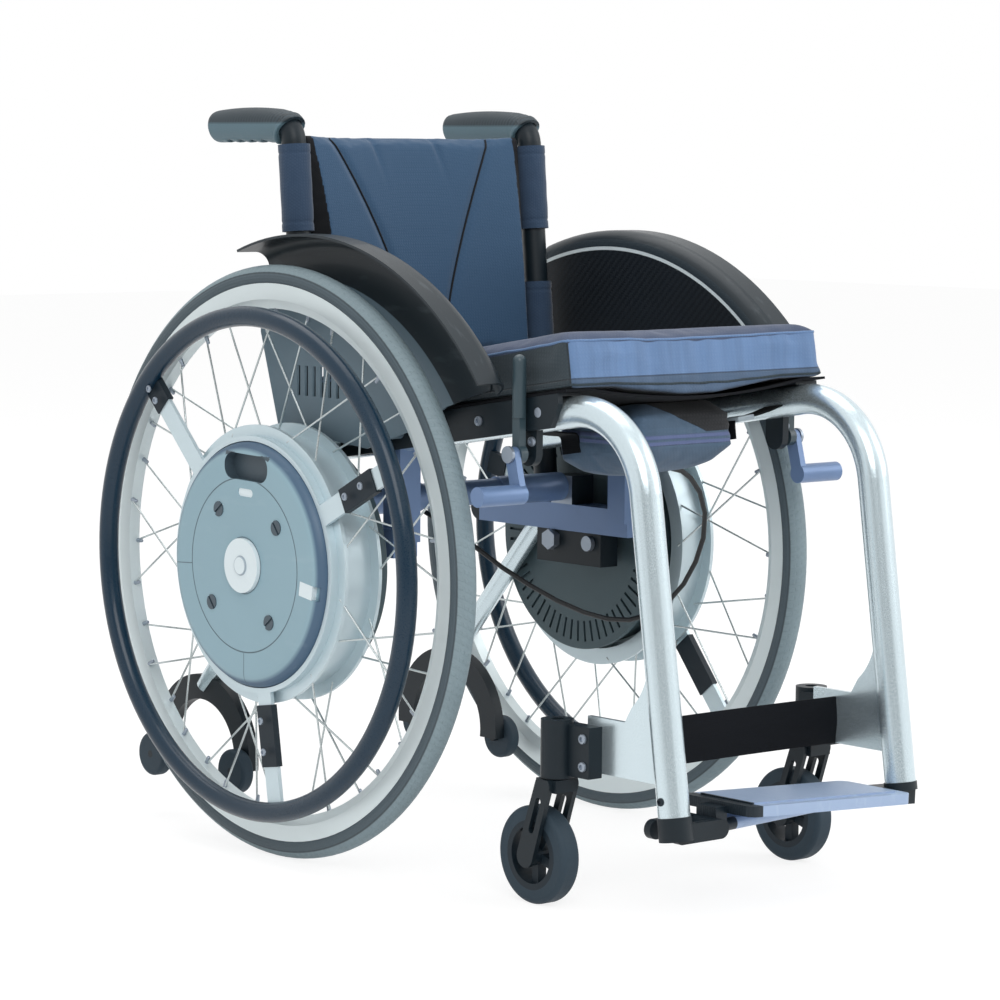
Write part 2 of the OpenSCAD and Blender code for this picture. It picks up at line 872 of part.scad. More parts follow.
// Slate side beams under the seat, each with its front post up to the seat tube
module axle_beams() {
    color(slate) both() difference() {
        union() {
            translate([beam_x - beam_w / 2, beam_front_y, beam_z - beam_h / 2])
                cube([beam_w, beam_rear_y - beam_front_y, beam_h]);
            translate([beam_x - beam_w / 2, beam_rear_y, beam_z]) rotate([0, 90, 0])
                cylinder(h = beam_w, r = beam_cap_r);
            translate([tube_x - front_post_w / 2, beam_front_y, beam_z])
                cube([front_post_w, front_post_w, knee_z - beam_z]);
        }
        seat_tube_space(0);
        side_slab(0, track) polygon([
            seat_pt(0, 0), seat_pt(seat_tube_len, 0),
            seat_pt(seat_tube_len, knee_z), seat_pt(0, knee_z)]);
    }
}

module axle_tube() {
    color(slate) chair() translate([-cross_end, cross_y, cross_z]) rotate([0, 90, 0]) {
        cylinder(h = 2 * cross_end, r = cross_r);
        cylinder(h = cross_end - cross_sleeve_x, r = cross_sleeve_r);
        translate([0, 0, cross_end + cross_sleeve_x])
            cylinder(h = cross_end - cross_sleeve_x, r = cross_sleeve_r);
    }
}

// Dark blocks on the beams: the axle holders below and the cross tube clamps above
module axle_blocks() {
    block_x = beam_x;
    block_top = beam_z - beam_h / 2;
    color(black) both() {
        difference() {
            translate([block_x - block_t / 2, block_front_y, wheel_r - block_low])
                cube([block_t, block_rear_y - block_front_y, block_top - wheel_r + block_low]);
            translate([block_x - block_t, 0, wheel_r]) rotate([0, 90, 0])
                cylinder(h = 2 * block_t, r = axle_d / 2 + fit);
        }
        translate([block_x - block_t / 2 - bolt_stand, bolt_y, wheel_r]) rotate([0, 90, 0])
            cylinder(h = bolt_stand, r = bolt_r);
        translate([cross_end, cross_y - cross_clamp_w / 2, beam_top])
            cube([beam_w, cross_clamp_w / 2 + cross_r, cross_clamp_h]);
    }
}

// Back
// Places a piece about the middle of a post's bend: the handle run starts at angle 0, along -Y
module on_post_bend() {
    bend_mid = post_bend_from + post_bend_r * [cos(post_lean), -sin(post_lean)];
    translate([post_x, 0, 0]) rotate([90, 0, 90]) translate(bend_mid) rotate([0, 0, 90]) children();
}

module back_post() {
    upright = (post_bend_from[1] - beam_top + post_r) / cos(post_lean);
    on_post_bend() bent_tube(post_r, post_step, post_bend_r, post_turn, grip_len, upright);
}

module back_posts() {
    color(black) both() difference() {
        back_post();
        translate([0, 0, beam_top - track]) cube([track, track, track]);
    }
}

module post_sleeves() {
    lower = [for (share = low_sleeve_shares) post_free_low + share * post_free_len];
    spans = [[sleeve_low_z, sleeve_high_z], lower];
    color(navy) both() for (span = spans) difference() {
        low = post_pt(span[0]);
        high = post_pt(span[1]);
        rod([post_x, low[0], low[1]], [post_x, high[0], high[1]], sleeve_r);
        post_space(fit);
    }
}

// A part of a ring of the given radius around a post's bend, from one angle on
module bend_ring(r, bore_r, from, angle) {
    rotate([0, 0, from]) rotate_extrude(angle = angle) translate([post_bend_r, 0]) difference() {
        circle(r);
        circle(bore_r);
    }
}

// Grips that wrap the bend of the posts, with a collar in front, a round end and finger notches below
module push_grip() {
    full_len = grip_lap + grip_len + grip_cap;
    on_post_bend() {
        bend_ring(grip_r - post_step, post_r + post_step, 0, grip_wrap);
        bend_ring(collar_r, post_r + fit, grip_wrap - collar_turn, collar_turn);
        translate([post_bend_r, 0, 0]) difference() {
            translate([0, grip_lap, 0]) rotate([90, 0, 0]) rotate_extrude() difference() {
                union() {
                    square([grip_r, full_len - grip_round]);
                    square([grip_r - grip_round, full_len]);
                    translate([grip_r - grip_round, full_len - grip_round]) circle(grip_round);
                }
                translate([-over, -over]) square([post_r + fit + over, over + grip_lap + grip_len + fit]);
            }
            for (i = [0 : finger_notches - 1])
                translate([-grip_r - finger_r + finger_depth, -finger_start - i * finger_pitch, -grip_r - over])
                    cylinder(h = 2 * (grip_r + over), r = finger_r);
        }
    }
}

module push_grips() {
    color(black) both() push_grip();
}

// Seat coordinates: x across, y back along the seat, z up from the seat line
module on_seat() {
    translate([0, seat_start[0], seat_start[1]]) rotate([-seat_slope, 0, 0]) children();
}

// The sling's section: flat over the rails and sagging between them, raised by h
function sling_line(h) = concat(
    [[-sling_half_w, h]],
    [for (i = [0 : sling_steps])
        let (share = 2 * i / sling_steps - 1)
        [sling_free_w * share, h - sling_sag * (1 - share * share)]],
    [[sling_half_w, h]]);

function reversed(list) = [for (i = [len(list) - 1 : -1 : 0]) list[i]];

module seat_sling() {
    color(black) chair() on_seat() translate([0, sling_len - sling_front, sling_h])
        rotate([90, 0, 0]) linear_extrude(sling_len)
            polygon(concat(sling_line(0), reversed(sling_line(sling_t))));
}

module seat_cushion() {
    color(navy) chair() on_seat() translate([0, cushion_len / 2 - cushion_front, cushion_lift])
        soft_block(cushion_w, cushion_len, cushion_h, cushion_edge_r, cushion_corner_r, cushion_crown,
            cushion_draw, cushion_sag, cushion_sag_w);
}

// The back panel: its upright edges curve forward below its top, and it hangs back between them.
// Two wings run from these edges back to the posts.
function back_line(z, t) =
    let (bow = pow(max(0, 1 - (back_high_z - z) / back_curve_h), 2),
         half_w = back_low_half_w + back_flare * bow,
         edge_y = post_pt(z)[0] - back_ahead * (1 - bow),
         wing_y = post_pt(z)[0],
         inset = (back_t - t) / 2)
    concat(
        [[-back_half_w, wing_y + inset, z]],
        [for (i = [0 : back_columns])
            let (share = 2 * i / back_columns - 1)
            [half_w * share, edge_y + back_sag * (1 - share * share) + inset, z]],
        [[back_half_w, wing_y + inset, z]]);

module backrest() {
    low = back_low_z + back_edge_r;
    high = back_high_z - back_edge_r;
    end_t = back_t * back_edge_share;
    levels = concat(
        [[back_low_z, end_t]],
        [for (k = [0 : back_rows]) [low + (high - low) * k / back_rows, back_t]],
        [[back_high_z, end_t]]);
    width = back_columns + 3;
    points = [for (level = levels, side = [0, 1], p = back_line(level[0], level[1]))
        p + [0, side * level[1], 0]];
    function at(k, side, i) = (2 * k + side) * width + i;
    function quad(a, b, c, d) = [[a, b, c], [a, c, d]];
    last = len(levels) - 1;
    end = width - 1;
    faces = concat(
        [for (k = [0 : last - 1], i = [0 : width - 2])
            each quad(at(k, 0, i), at(k + 1, 0, i), at(k + 1, 0, i + 1), at(k, 0, i + 1))],
        [for (k = [0 : last - 1], i = [0 : width - 2])
            each quad(at(k, 1, i), at(k, 1, i + 1), at(k + 1, 1, i + 1), at(k + 1, 1, i))],
        [for (k = [0 : last - 1])
            each quad(at(k, 0, 0), at(k, 1, 0), at(k + 1, 1, 0), at(k + 1, 0, 0))],
        [for (k = [0 : last - 1])
            each quad(at(k, 0, end), at(k + 1, 0, end), at(k + 1, 1, end), at(k, 1, end))],
        [for (i = [0 : width - 2])
            each quad(at(0, 0, i), at(0, 0, i + 1), at(0, 1, i + 1), at(0, 1, i))],
        [for (i = [0 : width - 2])
            each quad(at(last, 0, i), at(last, 1, i), at(last, 1, i + 1), at(last, 0, i + 1))]);
    color(navy) chair() polyhedron(points, faces);
}

module seat_pouch() {
    color(navy) chair() on_seat() translate([0, pouch_l / 2 + pouch_front, sling_h - sling_sag - gap])
        mirror([0, 0, 1])
            soft_block(pouch_w, pouch_l, pouch_h, pouch_edge_r, pouch_corner_r, pouch_crown,
                pouch_draw, 0, pouch_w);
}

// Side guards: an upright panel inside the tyre with vents, and a lip that rolls out over the tyre
module guard_lip_section() {
    roll = [guard_r, guard_x + lip_roll_r];
    translate(roll) intersection() {
        difference() {
            circle(lip_roll_r);
            circle(lip_roll_r - guard_t);
        }
        translate([0, -lip_roll_r]) square(lip_roll_r);
    }
    translate([guard_r + lip_roll_r - guard_t, guard_x + lip_roll_r])
        square([guard_t, lip_out - guard_x - lip_roll_r]);
    translate([guard_r - lip_lap, guard_x]) square([lip_lap, guard_t]);
}

module side_guard() {
    difference() {
        union() {
            side_slab(guard_x, guard_t) intersection() {
                translate(guard_centre) circle(guard_r - lip_lap / 2, $fn = 180);
                polygon([
                    seat_pt(guard_front_y - seat_start[0], guard_front_h), [guard_front_y, wheel_r + guard_r],
                    [guard_rear_top[0], wheel_r + guard_r], guard_rear_top, guard_rear_low,
                    seat_pt(guard_turn_y - seat_start[0], guard_low),
                    seat_pt(guard_dip_y - seat_start[0], guard_dip_h),
                    seat_pt(guard_step_y - seat_start[0], guard_step_h)]);
            }
            translate([0, guard_centre[0], guard_centre[1]]) rotate([90, 0, 90]) rotate([0, 0, lip_start])
                rotate_extrude(angle = lip_turn) guard_lip_section();
            for (s = guard_bosses) {
                p = seat_pt(s, guard_boss_h);
                rod([rail_x + rail_t, p[0], p[1]], [guard_x + guard_t, p[0], p[1]], guard_boss_r);
            }
        }
        for (i = [0 : vent_count - 1])
            translate([guard_x - over, vent_rear_y - i * vent_pitch - vent_w / 2, vent_z - vent_h / 2])
                cube([guard_t + 2 * over, vent_w, vent_h]);
    }
}

module side_guards() {
    color(black) both() side_guard();
}

// Casters
module caster_fork_leg() {
    top = [swivel_y, housing_low - crown_gap - crown_t / 2];
    low = [caster_y, caster_r];
    run = low - top;
    difference() {
        bar_outline(top, low, fork_top_w, 2 * fork_pad_r);
        bar_outline(top + fork_slot_shares[0] * run, top + fork_slot_shares[1] * run,
            fork_slot_w, fork_slot_w);
        translate([swivel_y - fork_top_w, housing_low - crown_gap]) square([2 * fork_top_w, fork_top_w]);
    }
}

module caster_fork() {
    crown_low = housing_low - crown_gap - crown_t;
    color(black) {
        for (x = [caster_x - fork_in - fork_t, caster_x + fork_in]) side_slab(x, fork_t) caster_fork_leg();
        translate([caster_x - fork_in, swivel_y - crown_half_l, crown_low])
            cube([2 * fork_in, 2 * crown_half_l, crown_t]);
        translate([caster_x, swivel_y, crown_low])
            cylinder(h = housing_high - crown_low - crown_t, r = stem_r);
        rod([caster_x - fork_in, caster_y, caster_r], [caster_x + fork_in, caster_y, caster_r], caster_axle_r);
    }
}

module on_caster() {
    translate([caster_x, caster_y, caster_r]) rotate([0, 90, 0]) children();
}

module caster_core() {
    color(black) on_caster() difference() {
        union() {
            difference() {
                cylinder(h = caster_w, r = caster_rim_out, center = true);
                cylinder(h = caster_w + over, r = caster_rim_in, center = true);
            }
            cylinder(h = caster_w + fork_room, r = caster_hub_r, center = true);
            for (i = [0 : caster_spokes - 1]) rotate([0, 0, i * 360 / caster_spokes])
                translate([0, -caster_spoke_w / 2, -caster_spoke_t / 2])
                    cube([(caster_rim_in + caster_rim_out) / 2, caster_spoke_w, caster_spoke_t]);
        }
        cylinder(h = 2 * caster_w, r = caster_axle_r + fit, center = true);
    }
}

module caster_tyre() {
    half = caster_w / 2;
    color(tyre_grey) on_caster() rotate_extrude() {
        translate([caster_rim_out, -half]) square([caster_r - caster_rim_out - caster_round, caster_w]);
        translate([caster_rim_out, -half + caster_round])
            square([caster_r - caster_rim_out, caster_w - 2 * caster_round]);
        for (side = [-1, 1])
            translate([caster_r - caster_round, side * (half - caster_round)]) circle(caster_round);
    }
}

// Caster housings: the swivel barrel and the clamp block that holds it to the caster plate
module caster_housings() {
    block_in = plate_x + caster_plate_t / 2;
    color(black) both() difference() {
        union() {
            translate([caster_x, swivel_y, housing_low])
                cylinder(h = housing_high - housing_low, r = housing_r);
            translate([block_in, swivel_y - clamp_front, clamp_low])
                cube([caster_x - block_in, clamp_front, clamp_high - clamp_low]);
        }
        translate([caster_x, swivel_y, housing_low - over]) cylinder(h = housing_high, r = stem_r + fit);
    }
}

// Silver plates welded to the front tubes, with a flared upper edge and rivets
module caster_plates() {
    tube_y = leg_pt(caster_plate_low)[0];
    back = swivel_y - caster_plate_back;
    top = leg_pt(caster_plate_flare);
    color(silver) both() {
        difference() {
            side_slab(plate_x - caster_plate_t / 2, caster_plate_t) difference() {
                polygon([
                    [back, caster_plate_low], [back, caster_plate_high],
                    [top[0] + tube_r + flare_r / 2, caster_plate_high],
                    [top[0] + tube_r, caster_plate_flare], top, [tube_y, caster_plate_low]]);
                translate([top[0] + tube_r + flare_r, caster_plate_high + flare_r]) circle(flare_r);
            }
            leg_space(0);
        }
        for (z = [clamp_low + bolt_r, clamp_high - bolt_r], y = [back - bolt_r, back - clamp_front / 2])
            rod([plate_x - caster_plate_t / 2 - rivet_h, y, z], [plate_x - caster_plate_t / 2, y, z], rivet_r);
    }
}

module calf_strap() {
    reach = plate_x - caster_plate_t / 2;
    color(black) chair() translate([-reach, strap_y - strap_t / 2, strap_z - strap_h / 2])
        cube([2 * reach, strap_t, strap_h]);
}

// Footplate: drawn about its hinge line, which runs from front to back on the right side
module foot_space() {
    translate([foot_hinge_x, 0, foot_hinge_z]) children();
}

module footplate() {
    mid_y = -foot_front + foot_depth / 2;
    color(slate) chair() foot_space() {
        rotate([0, foot_tilt, 0]) {
            translate([(foot_near + foot_far) / 2, mid_y, foot_top - foot_t])
                linear_extrude(foot_t) round_rect(foot_far - foot_near, foot_depth, foot_corner);
            translate([foot_near + tread_margin, mid_y - foot_depth / 2 + tread_margin, foot_top])
                cube([foot_far - foot_near - 2 * tread_margin, foot_depth - 2 * tread_margin, tread_t]);
        }
        difference() {
            union() {
                rod([0, mid_y - knuckle_len / 2, 0], [0, mid_y + knuckle_len / 2, 0], foot_knuckle_r);
                translate([0, mid_y - knuckle_len / 2, -foot_knuckle_r / 2])
                    cube([strut_inset, knuckle_len, foot_top]);
                for (side = [-1, 1]) translate([strut_inset, mid_y + side * (knuckle_len - strut_w) / 2, 0])
                    rod([0, 0, 0], [strut_len, 0, foot_top - foot_t - strut_len * sin(foot_tilt)], strut_w / 2);
            }
            rod([0, mid_y - knuckle_len, 0], [0, mid_y + knuckle_len, 0], foot_pin_r + fit);
        }
    }
}

// The cap under a front tube, in line with the tube
module leg_cap(len) {
    low = leg_end + len * leg_dir;
    rod([tube_x, leg_end[0], leg_end[1]], [tube_x, low[0], low[1]], tube_r + cap_grow);
}

// The right hinge: a tube cap, two ears and the pin that the footplate turns on
module foot_hinge() {
    mid_y = -foot_front + foot_depth / 2;
    ear_y = knuckle_len / 2 + gap;
    ear_w = 2 * foot_knuckle_r;
    mirror([1, 0, 0]) leg_cap(hinge_cap_len);
    rod([foot_hinge_x, mid_y - ear_y - hinge_wall, foot_hinge_z],
        [foot_hinge_x, mid_y + ear_y + hinge_wall, foot_hinge_z], foot_pin_r);
    for (y = [mid_y - ear_y - hinge_wall, mid_y + ear_y])
        translate([0, y + hinge_wall, 0]) rotate([90, 0, 0]) linear_extrude(hinge_wall)
            bar_outline([-tube_x, foot_hinge_z], [foot_hinge_x, foot_hinge_z], ear_w, ear_w);
}

// The left rest: a tube cap and a ledge under the free end of the footplate
module foot_rest() {
    mid_y = -foot_front + foot_depth / 2;
    ledge_z = foot_top - foot_t - gap - ledge_t;
    leg_cap(rest_cap_len);
    foot_space() rotate([0, foot_tilt, 0]) {
        translate([foot_far - ledge_lap, mid_y - ledge_w / 2, ledge_z])
            cube([tube_x + tube_r - foot_hinge_x - foot_far + ledge_lap, ledge_w, ledge_t]);
        translate([foot_far + rest_gap, mid_y - ledge_w / 2, ledge_z])
            cube([tube_x + tube_r - foot_hinge_x - foot_far - rest_gap, ledge_w, foot_t + ledge_t]);
    }
}

module footplate_brackets() {
    color(black) chair() {
        foot_hinge();
        foot_rest();
    }
}

// Brakes: a bracket under each seat tube with the one pin that the lever and the shoe's arm swing on
module brake_brackets() {
    head_end = pivot_head_x + pivot_head_t;
    foot = seat_pt(pivot[0] - seat_start[0], 0);
    color(black) both() {
        difference() {
            side_slab(bracket_x, bracket_t)
                bar_outline(pivot, foot, 2 * bracket_round, 2 * bracket_round);
            seat_tube_space(0);
            seat_rail_space();
        }
        rod([bracket_x + bracket_t, pivot[0], pivot[1]], [head_end, pivot[0], pivot[1]], brake_pin_r);
        rod([pivot_head_x, pivot[0], pivot[1]], [head_end, pivot[0], pivot[1]], pivot_head_r);
    }
}

module seat_rail_space() {
    side_slab(tube_x - rail_flange_in, track) polygon([
        seat_pt(0, rail_low), seat_pt(0, knee_z), seat_pt(rail_len, knee_z), seat_pt(rail_len, rail_low)]);
}

// A lever drawn upright about its pivot
module brake_lever() {
    color(black) translate([0, pivot[0], pivot[1]]) difference() {
        union() {
            side_slab(brake_layer, brake_t) {
                circle(lever_hub_r);
                bar_outline([0, 0], [0, lever_neck], lever_neck_w, lever_neck_w);
            }
            translate([brake_layer + brake_t / 2, 0, lever_neck])
                cylinder(h = lever_len - lever_neck - lever_d / 2, r = lever_d / 2);
            translate([brake_layer + brake_t / 2, 0, lever_len - lever_d / 2]) sphere(lever_d / 2);
        }
        rod([brake_layer - over, 0, 0], [brake_layer + brake_t + over, 0, 0], brake_pin_r + fit);
    }
}

// The shoe and its arm, which hangs from the same pin outside the lever and rests forward of the tyre
module brake_shoe() {
    color(slate) translate([0, pivot[0], pivot[1]]) rotate([shoe_rest, 0, 0]) difference() {
        union() {
            side_slab(shoe_layer, shoe_arm_t)
                bar_outline([0, 0], [0, -shoe_arm_len], shoe_arm_w, shoe_arm_w);
            rod([shoe_layer, 0, -shoe_arm_len], [shoe_out, 0, -shoe_arm_len], shoe_r);
        }
        rod([shoe_layer - over, 0, 0], [shoe_layer + shoe_arm_t + over, 0, 0], brake_pin_r + fit);
    }
}

// Side view place of a roller: side -1 is the front roller, 1 the rear one
function roller_pt(side) = arch_centre + [side * arch_r, -arch_leg_drop];

// Anti-tippers: a tube down from the side beam and an arch with a roller at each foot
module anti_tip_arm() {
    arch_top = arch_centre + [0, arch_r];
    difference() {
        union() {
            translate([arch_x - arch_t / 2, 0, 0]) rotate([90, 0, 90]) translate(arch_centre)
                linear_extrude(arch_t) difference() {
                    circle(arch_r + arch_w / 2);
                    circle(arch_r - arch_w / 2);
                    translate([-2 * arch_r, -2 * arch_r - arch_leg_drop]) square([4 * arch_r, 2 * arch_r]);
                }
            rod([arch_x, tip_tube_top[0], tip_tube_top[1]], [arch_x, arch_top[0], arch_top[1]], tip_tube_r);
        }
        translate([0, 0, beam_z - beam_h / 2]) cube([track, track, track]);
        translate([0, -track, 0]) cube([track, track + tip_tube_wall_y, track]);
    }
    for (side = [-1, 1]) {
        p = roller_pt(side);
        rod([arch_x, p[0], p[1]], [arch_x + arch_t / 2 + gap + roller_w, p[0], p[1]], roller_pin_r);
    }
}

module anti_tip_arms() {
    color(black) both() anti_tip_arm();
}

module anti_tip_roller(side) {
    color(black) translate([arch_x + arch_t / 2 + gap, roller_pt(side)[0], roller_pt(side)[1]])
        rotate([0, 90, 0]) rotate_extrude() difference() {
            union() {
                square([roller_r - roller_round, roller_w]);
                translate([0, roller_round]) square([roller_r, roller_w - 2 * roller_round]);
                for (z = [roller_round, roller_w - roller_round])
                    translate([roller_r - roller_round, z]) circle(roller_round);
            }
            translate([-roller_r, -over]) square([roller_r + roller_pin_r + fit, roller_w + 2 * over]);
        }
}

module control_cable() {
    color(black) chair() cord(cable_route, cable_r, cable_sides);
}

module turned_wheel() {
    translate([0, 0, wheel_r]) rotate([-left_wheel_turn, 0, 0]) translate([0, 0, -wheel_r]) children();
}

right() tyre();  // tyre_right
left() tyre();  // tyre_left
right() rim();  // rim_right
left() rim();  // rim_left
right() spokes();  // spokes_right
left() spokes();  // spokes_left
right() hub_shell();  // hub_shell_right
left() hub_shell();  // hub_shell_left
right() battery_case();  // battery_case_right
left() battery_case();  // battery_case_left
right() battery_lid();  // battery_lid_right
left() battery_lid();  // battery_lid_left
right() lid_screws();  // lid_screws_right
left() lid_screws();  // lid_screws_left
right() axle_button();  // axle_button_right
left() axle_button();  // axle_button_left
right() battery_latch();  // battery_latch_right
left() battery_latch();  // battery_latch_left
right() push_rim();  // push_rim_right
left() push_rim();  // push_rim_left
right() rim_arms();  // rim_arms_right
left() turned_wheel() rim_arms();  // rim_arms_left
right() motor_plate();  // motor_plate_right
left() motor_plate();  // motor_plate_left
right() caster_fork();  // caster_fork_right
left() caster_fork();  // caster_fork_left
right() caster_core();  // caster_core_right
left() caster_core();  // caster_core_left
right() caster_tyre();  // caster_tyre_right
left() caster_tyre();  // caster_tyre_left
caster_housings();
caster_plates();
brake_brackets();
right() brake_lever();  // brake_lever_right
left() brake_lever();  // brake_lever_left
right() brake_shoe();  // brake_shoe_right
left() brake_shoe();  // brake_shoe_left
footplate();
footplate_brackets();
right() side_tube();  // side_tube_right
left() side_tube();  // side_tube_left
seat_rails();
axle_beams();
axle_tube();
axle_blocks();
back_posts();
backrest();
post_sleeves();
push_grips();
seat_sling();
seat_cushion();
seat_pouch();
side_guards();
anti_tip_arms();
right() anti_tip_roller(-1);  // anti_tip_roller_right_front
right() anti_tip_roller(1);  // anti_tip_roller_right_rear
left() anti_tip_roller(-1);  // anti_tip_roller_left_front
left() anti_tip_roller(1);  // anti_tip_roller_left_rear
calf_strap();
control_cable();
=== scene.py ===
"""Looks of the power assisted wheelchair: finishes, cloth, small hardware, light and camera.

The file is laid out as an add-on and is run as a script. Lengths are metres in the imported
model's frame: +Z is up, the chair faces -Y and the occupant's left is +X.
"""
import json
import math

import bpy
from bpy.props import FloatProperty, FloatVectorProperty, IntProperty, PointerProperty
from mathutils import Matrix, Vector, noise
from mathutils.bvhtree import BVHTree


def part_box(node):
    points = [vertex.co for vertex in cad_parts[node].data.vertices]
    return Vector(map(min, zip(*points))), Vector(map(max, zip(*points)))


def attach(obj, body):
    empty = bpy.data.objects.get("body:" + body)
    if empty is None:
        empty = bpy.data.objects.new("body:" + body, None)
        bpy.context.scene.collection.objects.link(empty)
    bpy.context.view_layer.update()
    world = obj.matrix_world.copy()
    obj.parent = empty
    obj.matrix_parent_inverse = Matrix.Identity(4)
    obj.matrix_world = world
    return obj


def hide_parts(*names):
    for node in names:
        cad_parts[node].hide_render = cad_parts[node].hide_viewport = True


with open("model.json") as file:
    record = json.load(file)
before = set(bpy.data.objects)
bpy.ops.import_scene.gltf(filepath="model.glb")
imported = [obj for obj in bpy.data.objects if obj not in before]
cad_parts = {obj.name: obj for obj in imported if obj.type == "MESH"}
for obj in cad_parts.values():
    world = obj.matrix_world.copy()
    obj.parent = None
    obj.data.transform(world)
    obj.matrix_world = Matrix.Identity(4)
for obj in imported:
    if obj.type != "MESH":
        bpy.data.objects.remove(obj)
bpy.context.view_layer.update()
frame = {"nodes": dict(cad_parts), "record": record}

bl_info = {
    "name": "Power Assist Wheelchair Looks",
    "version": (1, 0, 0),
    "blender": (4, 5, 0),
    "location": "View3D > Sidebar > Wheelchair",
    "description": "Dresses the packed wheelchair with its finishes, cloth and small hardware",
    "category": "Object",
}

# Places and sizes on the part, in metres, and the slant of the grips' ribs in radians per metre
AXLE_Y = 0.120
AXLE_Z = 0.295
TYRE_X = 0.219
PUSH_MID_R = 0.245
RIM_IN_R = 0.252
ARM_START_R = 0.1273
ARM_ANGLES = {"right": (27, 135, 279), "left": (57, 165, 309)}
ARM_SLEEVE_SHARES = ((0.3, 0.75), (0.7, 0.97), (0.1, 0.62))
ARM_X = 0.256
SEAT_SLOPE = math.radians(8.8)
LEG_LEAN = math.radians(8.3)
POST_LEAN = math.radians(5.0)
KNEE = Vector((0.0, AXLE_Y - 0.444, 0.476))
KNEE_BEND_R = 0.084
TUBE_X = 0.149
TUBE_R = 0.015
POST_X = 0.157
POST_R = 0.0125
POST_FOOT_Y = AXLE_Y + 0.027
BEAM_TOP = 0.334
HANDLE_Z = 0.728
GRIP_R = 0.0155
NOTCH_DEPTH = 0.0022
GRIP_RIBS_Y = 1400.0
GRIP_RIBS_X = 800.0
SLEEVE_SPANS = ((0.621, 0.708), (0.493, 0.565))
SLEEVE_R = 0.0165
SLING_HALF_W = 0.170
SLING_FREE_W = 0.141
SLING_FRONT = -0.012
SLING_LEN = 0.372
SLING_H = 0.018
SLING_SAG = 0.012
RAIL_FACE_X = 0.170
CUSHION_FRONT = -0.018
CUSHION_DEPTH = 0.396
CUSHION_HALF_W = 0.168
CUSHION_LIFT = 0.0213
CUSHION_H = 0.048
CUSHION_SEAM_H = 0.0295
POUCH_RIBS = (0.4276, 0.4336)
POUCH_FLAP_Z = 0.4472
POUCH_FLAP_SLOPE = 0.44
POUCH_FLAP_LOW = 0.4372
BACK_LOW_Z = 0.490
BACK_HIGH_Z = 0.717
BACK_CURVE_H = 0.176
BACK_LOW_HALF_W = 0.1245
BACK_FLARE = 0.008
BRACKET_FACE_X = 0.166
BRACKET_SCREW = (AXLE_Y - 0.3185, 0.4335)
CASE_FACE_X = 0.264
POCKET_ANGLE = math.radians(88.0)
POCKET_MID_R = 0.097
POCKET_HALF_W = 0.035
POCKET_HALF_H = 0.013
POCKET_DEPTH = 0.012
LID_R = 0.0863
BUTTON_GAP_R = 0.0278
BUTTON_DOT_R = 0.0092
PILL_DEPTH = 0.0008
CASE_EDGE_R = 0.1125
CASE_SIDE_R = 0.1165
SHOULDER_R = 0.2858
TREAD_START_R = 0.2872
TREAD_FULL_R = 0.2884
GUARD_CENTRE_Y = AXLE_Y - 0.040
GUARD_CENTRE_Z = 0.288
GUARD_HIGHLIGHT_R = 0.3125
GUARD_HIGHLIGHT_W = 0.0032
GUARD_PANEL_R = 0.283
BLOCK_FACE_X = 0.143
AXLE_NUT_X = 0.156
BEAM_CAP_Y = AXLE_Y + 0.118
BRAKE_PIN_X = 0.1875
TIP_ARCH_Y = AXLE_Y + 0.197
TIP_ARCH_Z = 0.072
TIP_ARCH_REACH = 0.0855
RAIL_SCREW_H = 0.003
RAIL_FRONT_SCREW = 0.030
RAIL_SCREWS = (0.115, 0.235, 0.300)
CLAMP_FACE_X = 0.168
CLAMP_SCREW_Y = AXLE_Y - 0.395
CLAMP_SCREW_HEIGHTS = (0.137, 0.163)
TUBE_SCREW_Z = 0.118
FOOT_BLACK_X = -0.072
STRAP_HALF_W = 0.1465
STRAP_Y = AXLE_Y - 0.414
STRAP_Z = 0.153
STRAP_H = 0.046
CABLE_ROUTE = (
    (-0.044, 0.108, 0.3364), (-0.034, 0.078, 0.320), (-0.014, 0.058, 0.300), (0.004, 0.040, 0.281),
    (0.024, 0.022, 0.264), (0.046, 0.004, 0.248), (0.068, -0.012, 0.236), (0.088, -0.026, 0.229),
    (0.105, -0.040, 0.228), (0.118, -0.056, 0.234), (0.127, -0.074, 0.248), (0.132, -0.092, 0.268),
    (0.133, -0.108, 0.292), (0.130, -0.122, 0.318), (0.122, -0.132, 0.344), (0.108, -0.139, 0.366),
    (0.090, -0.144, 0.382), (0.074, -0.148, 0.390), (0.056, -0.149, 0.394))

# The photo's view: where the camera stands, how it is turned, and its lens on a square frame
CAMERA_PLACE = (-2.3749, -2.7256, 0.7024)
CAMERA_AZIMUTH = math.radians(-40.6466)
CAMERA_ELEVATION = math.radians(5.5111)
CAMERA_ROLL = math.radians(0.3977)
CAMERA_LENS_SHARE = 3.61173

SIDES = {"right": -1.0, "left": 1.0}

# The range of the grain's noise, and how far roughness goes to each side of its level
GRAIN_LOW = 0.3
GRAIN_HIGH = 0.7
ROUGH_SPREAD = 0.06


def towards_camera():
    """The direction from the chair to the photo's camera."""
    level = math.cos(CAMERA_ELEVATION)
    across = math.sin(CAMERA_AZIMUTH) * level
    return Vector((across, -math.cos(CAMERA_AZIMUTH) * level, math.sin(CAMERA_ELEVATION)))


KNEE_REACH = KNEE_BEND_R * math.tan((math.pi / 2 + SEAT_SLOPE - LEG_LEAN) / 2)


def seat_frame():
    """The seat line's start, its direction towards the back, and its upward direction."""
    back = Vector((0.0, math.cos(SEAT_SLOPE), -math.sin(SEAT_SLOPE)))
    up = Vector((0.0, math.sin(SEAT_SLOPE), math.cos(SEAT_SLOPE)))
    return KNEE + KNEE_REACH * back, back, up


SEAT_START, SEAT_BACK, SEAT_UP = seat_frame()


def seat_point(x, along, height):
    """A point x across the chair, along the seat line and height above it."""
    return Vector((x, 0.0, 0.0)) + SEAT_START + along * SEAT_BACK + height * SEAT_UP


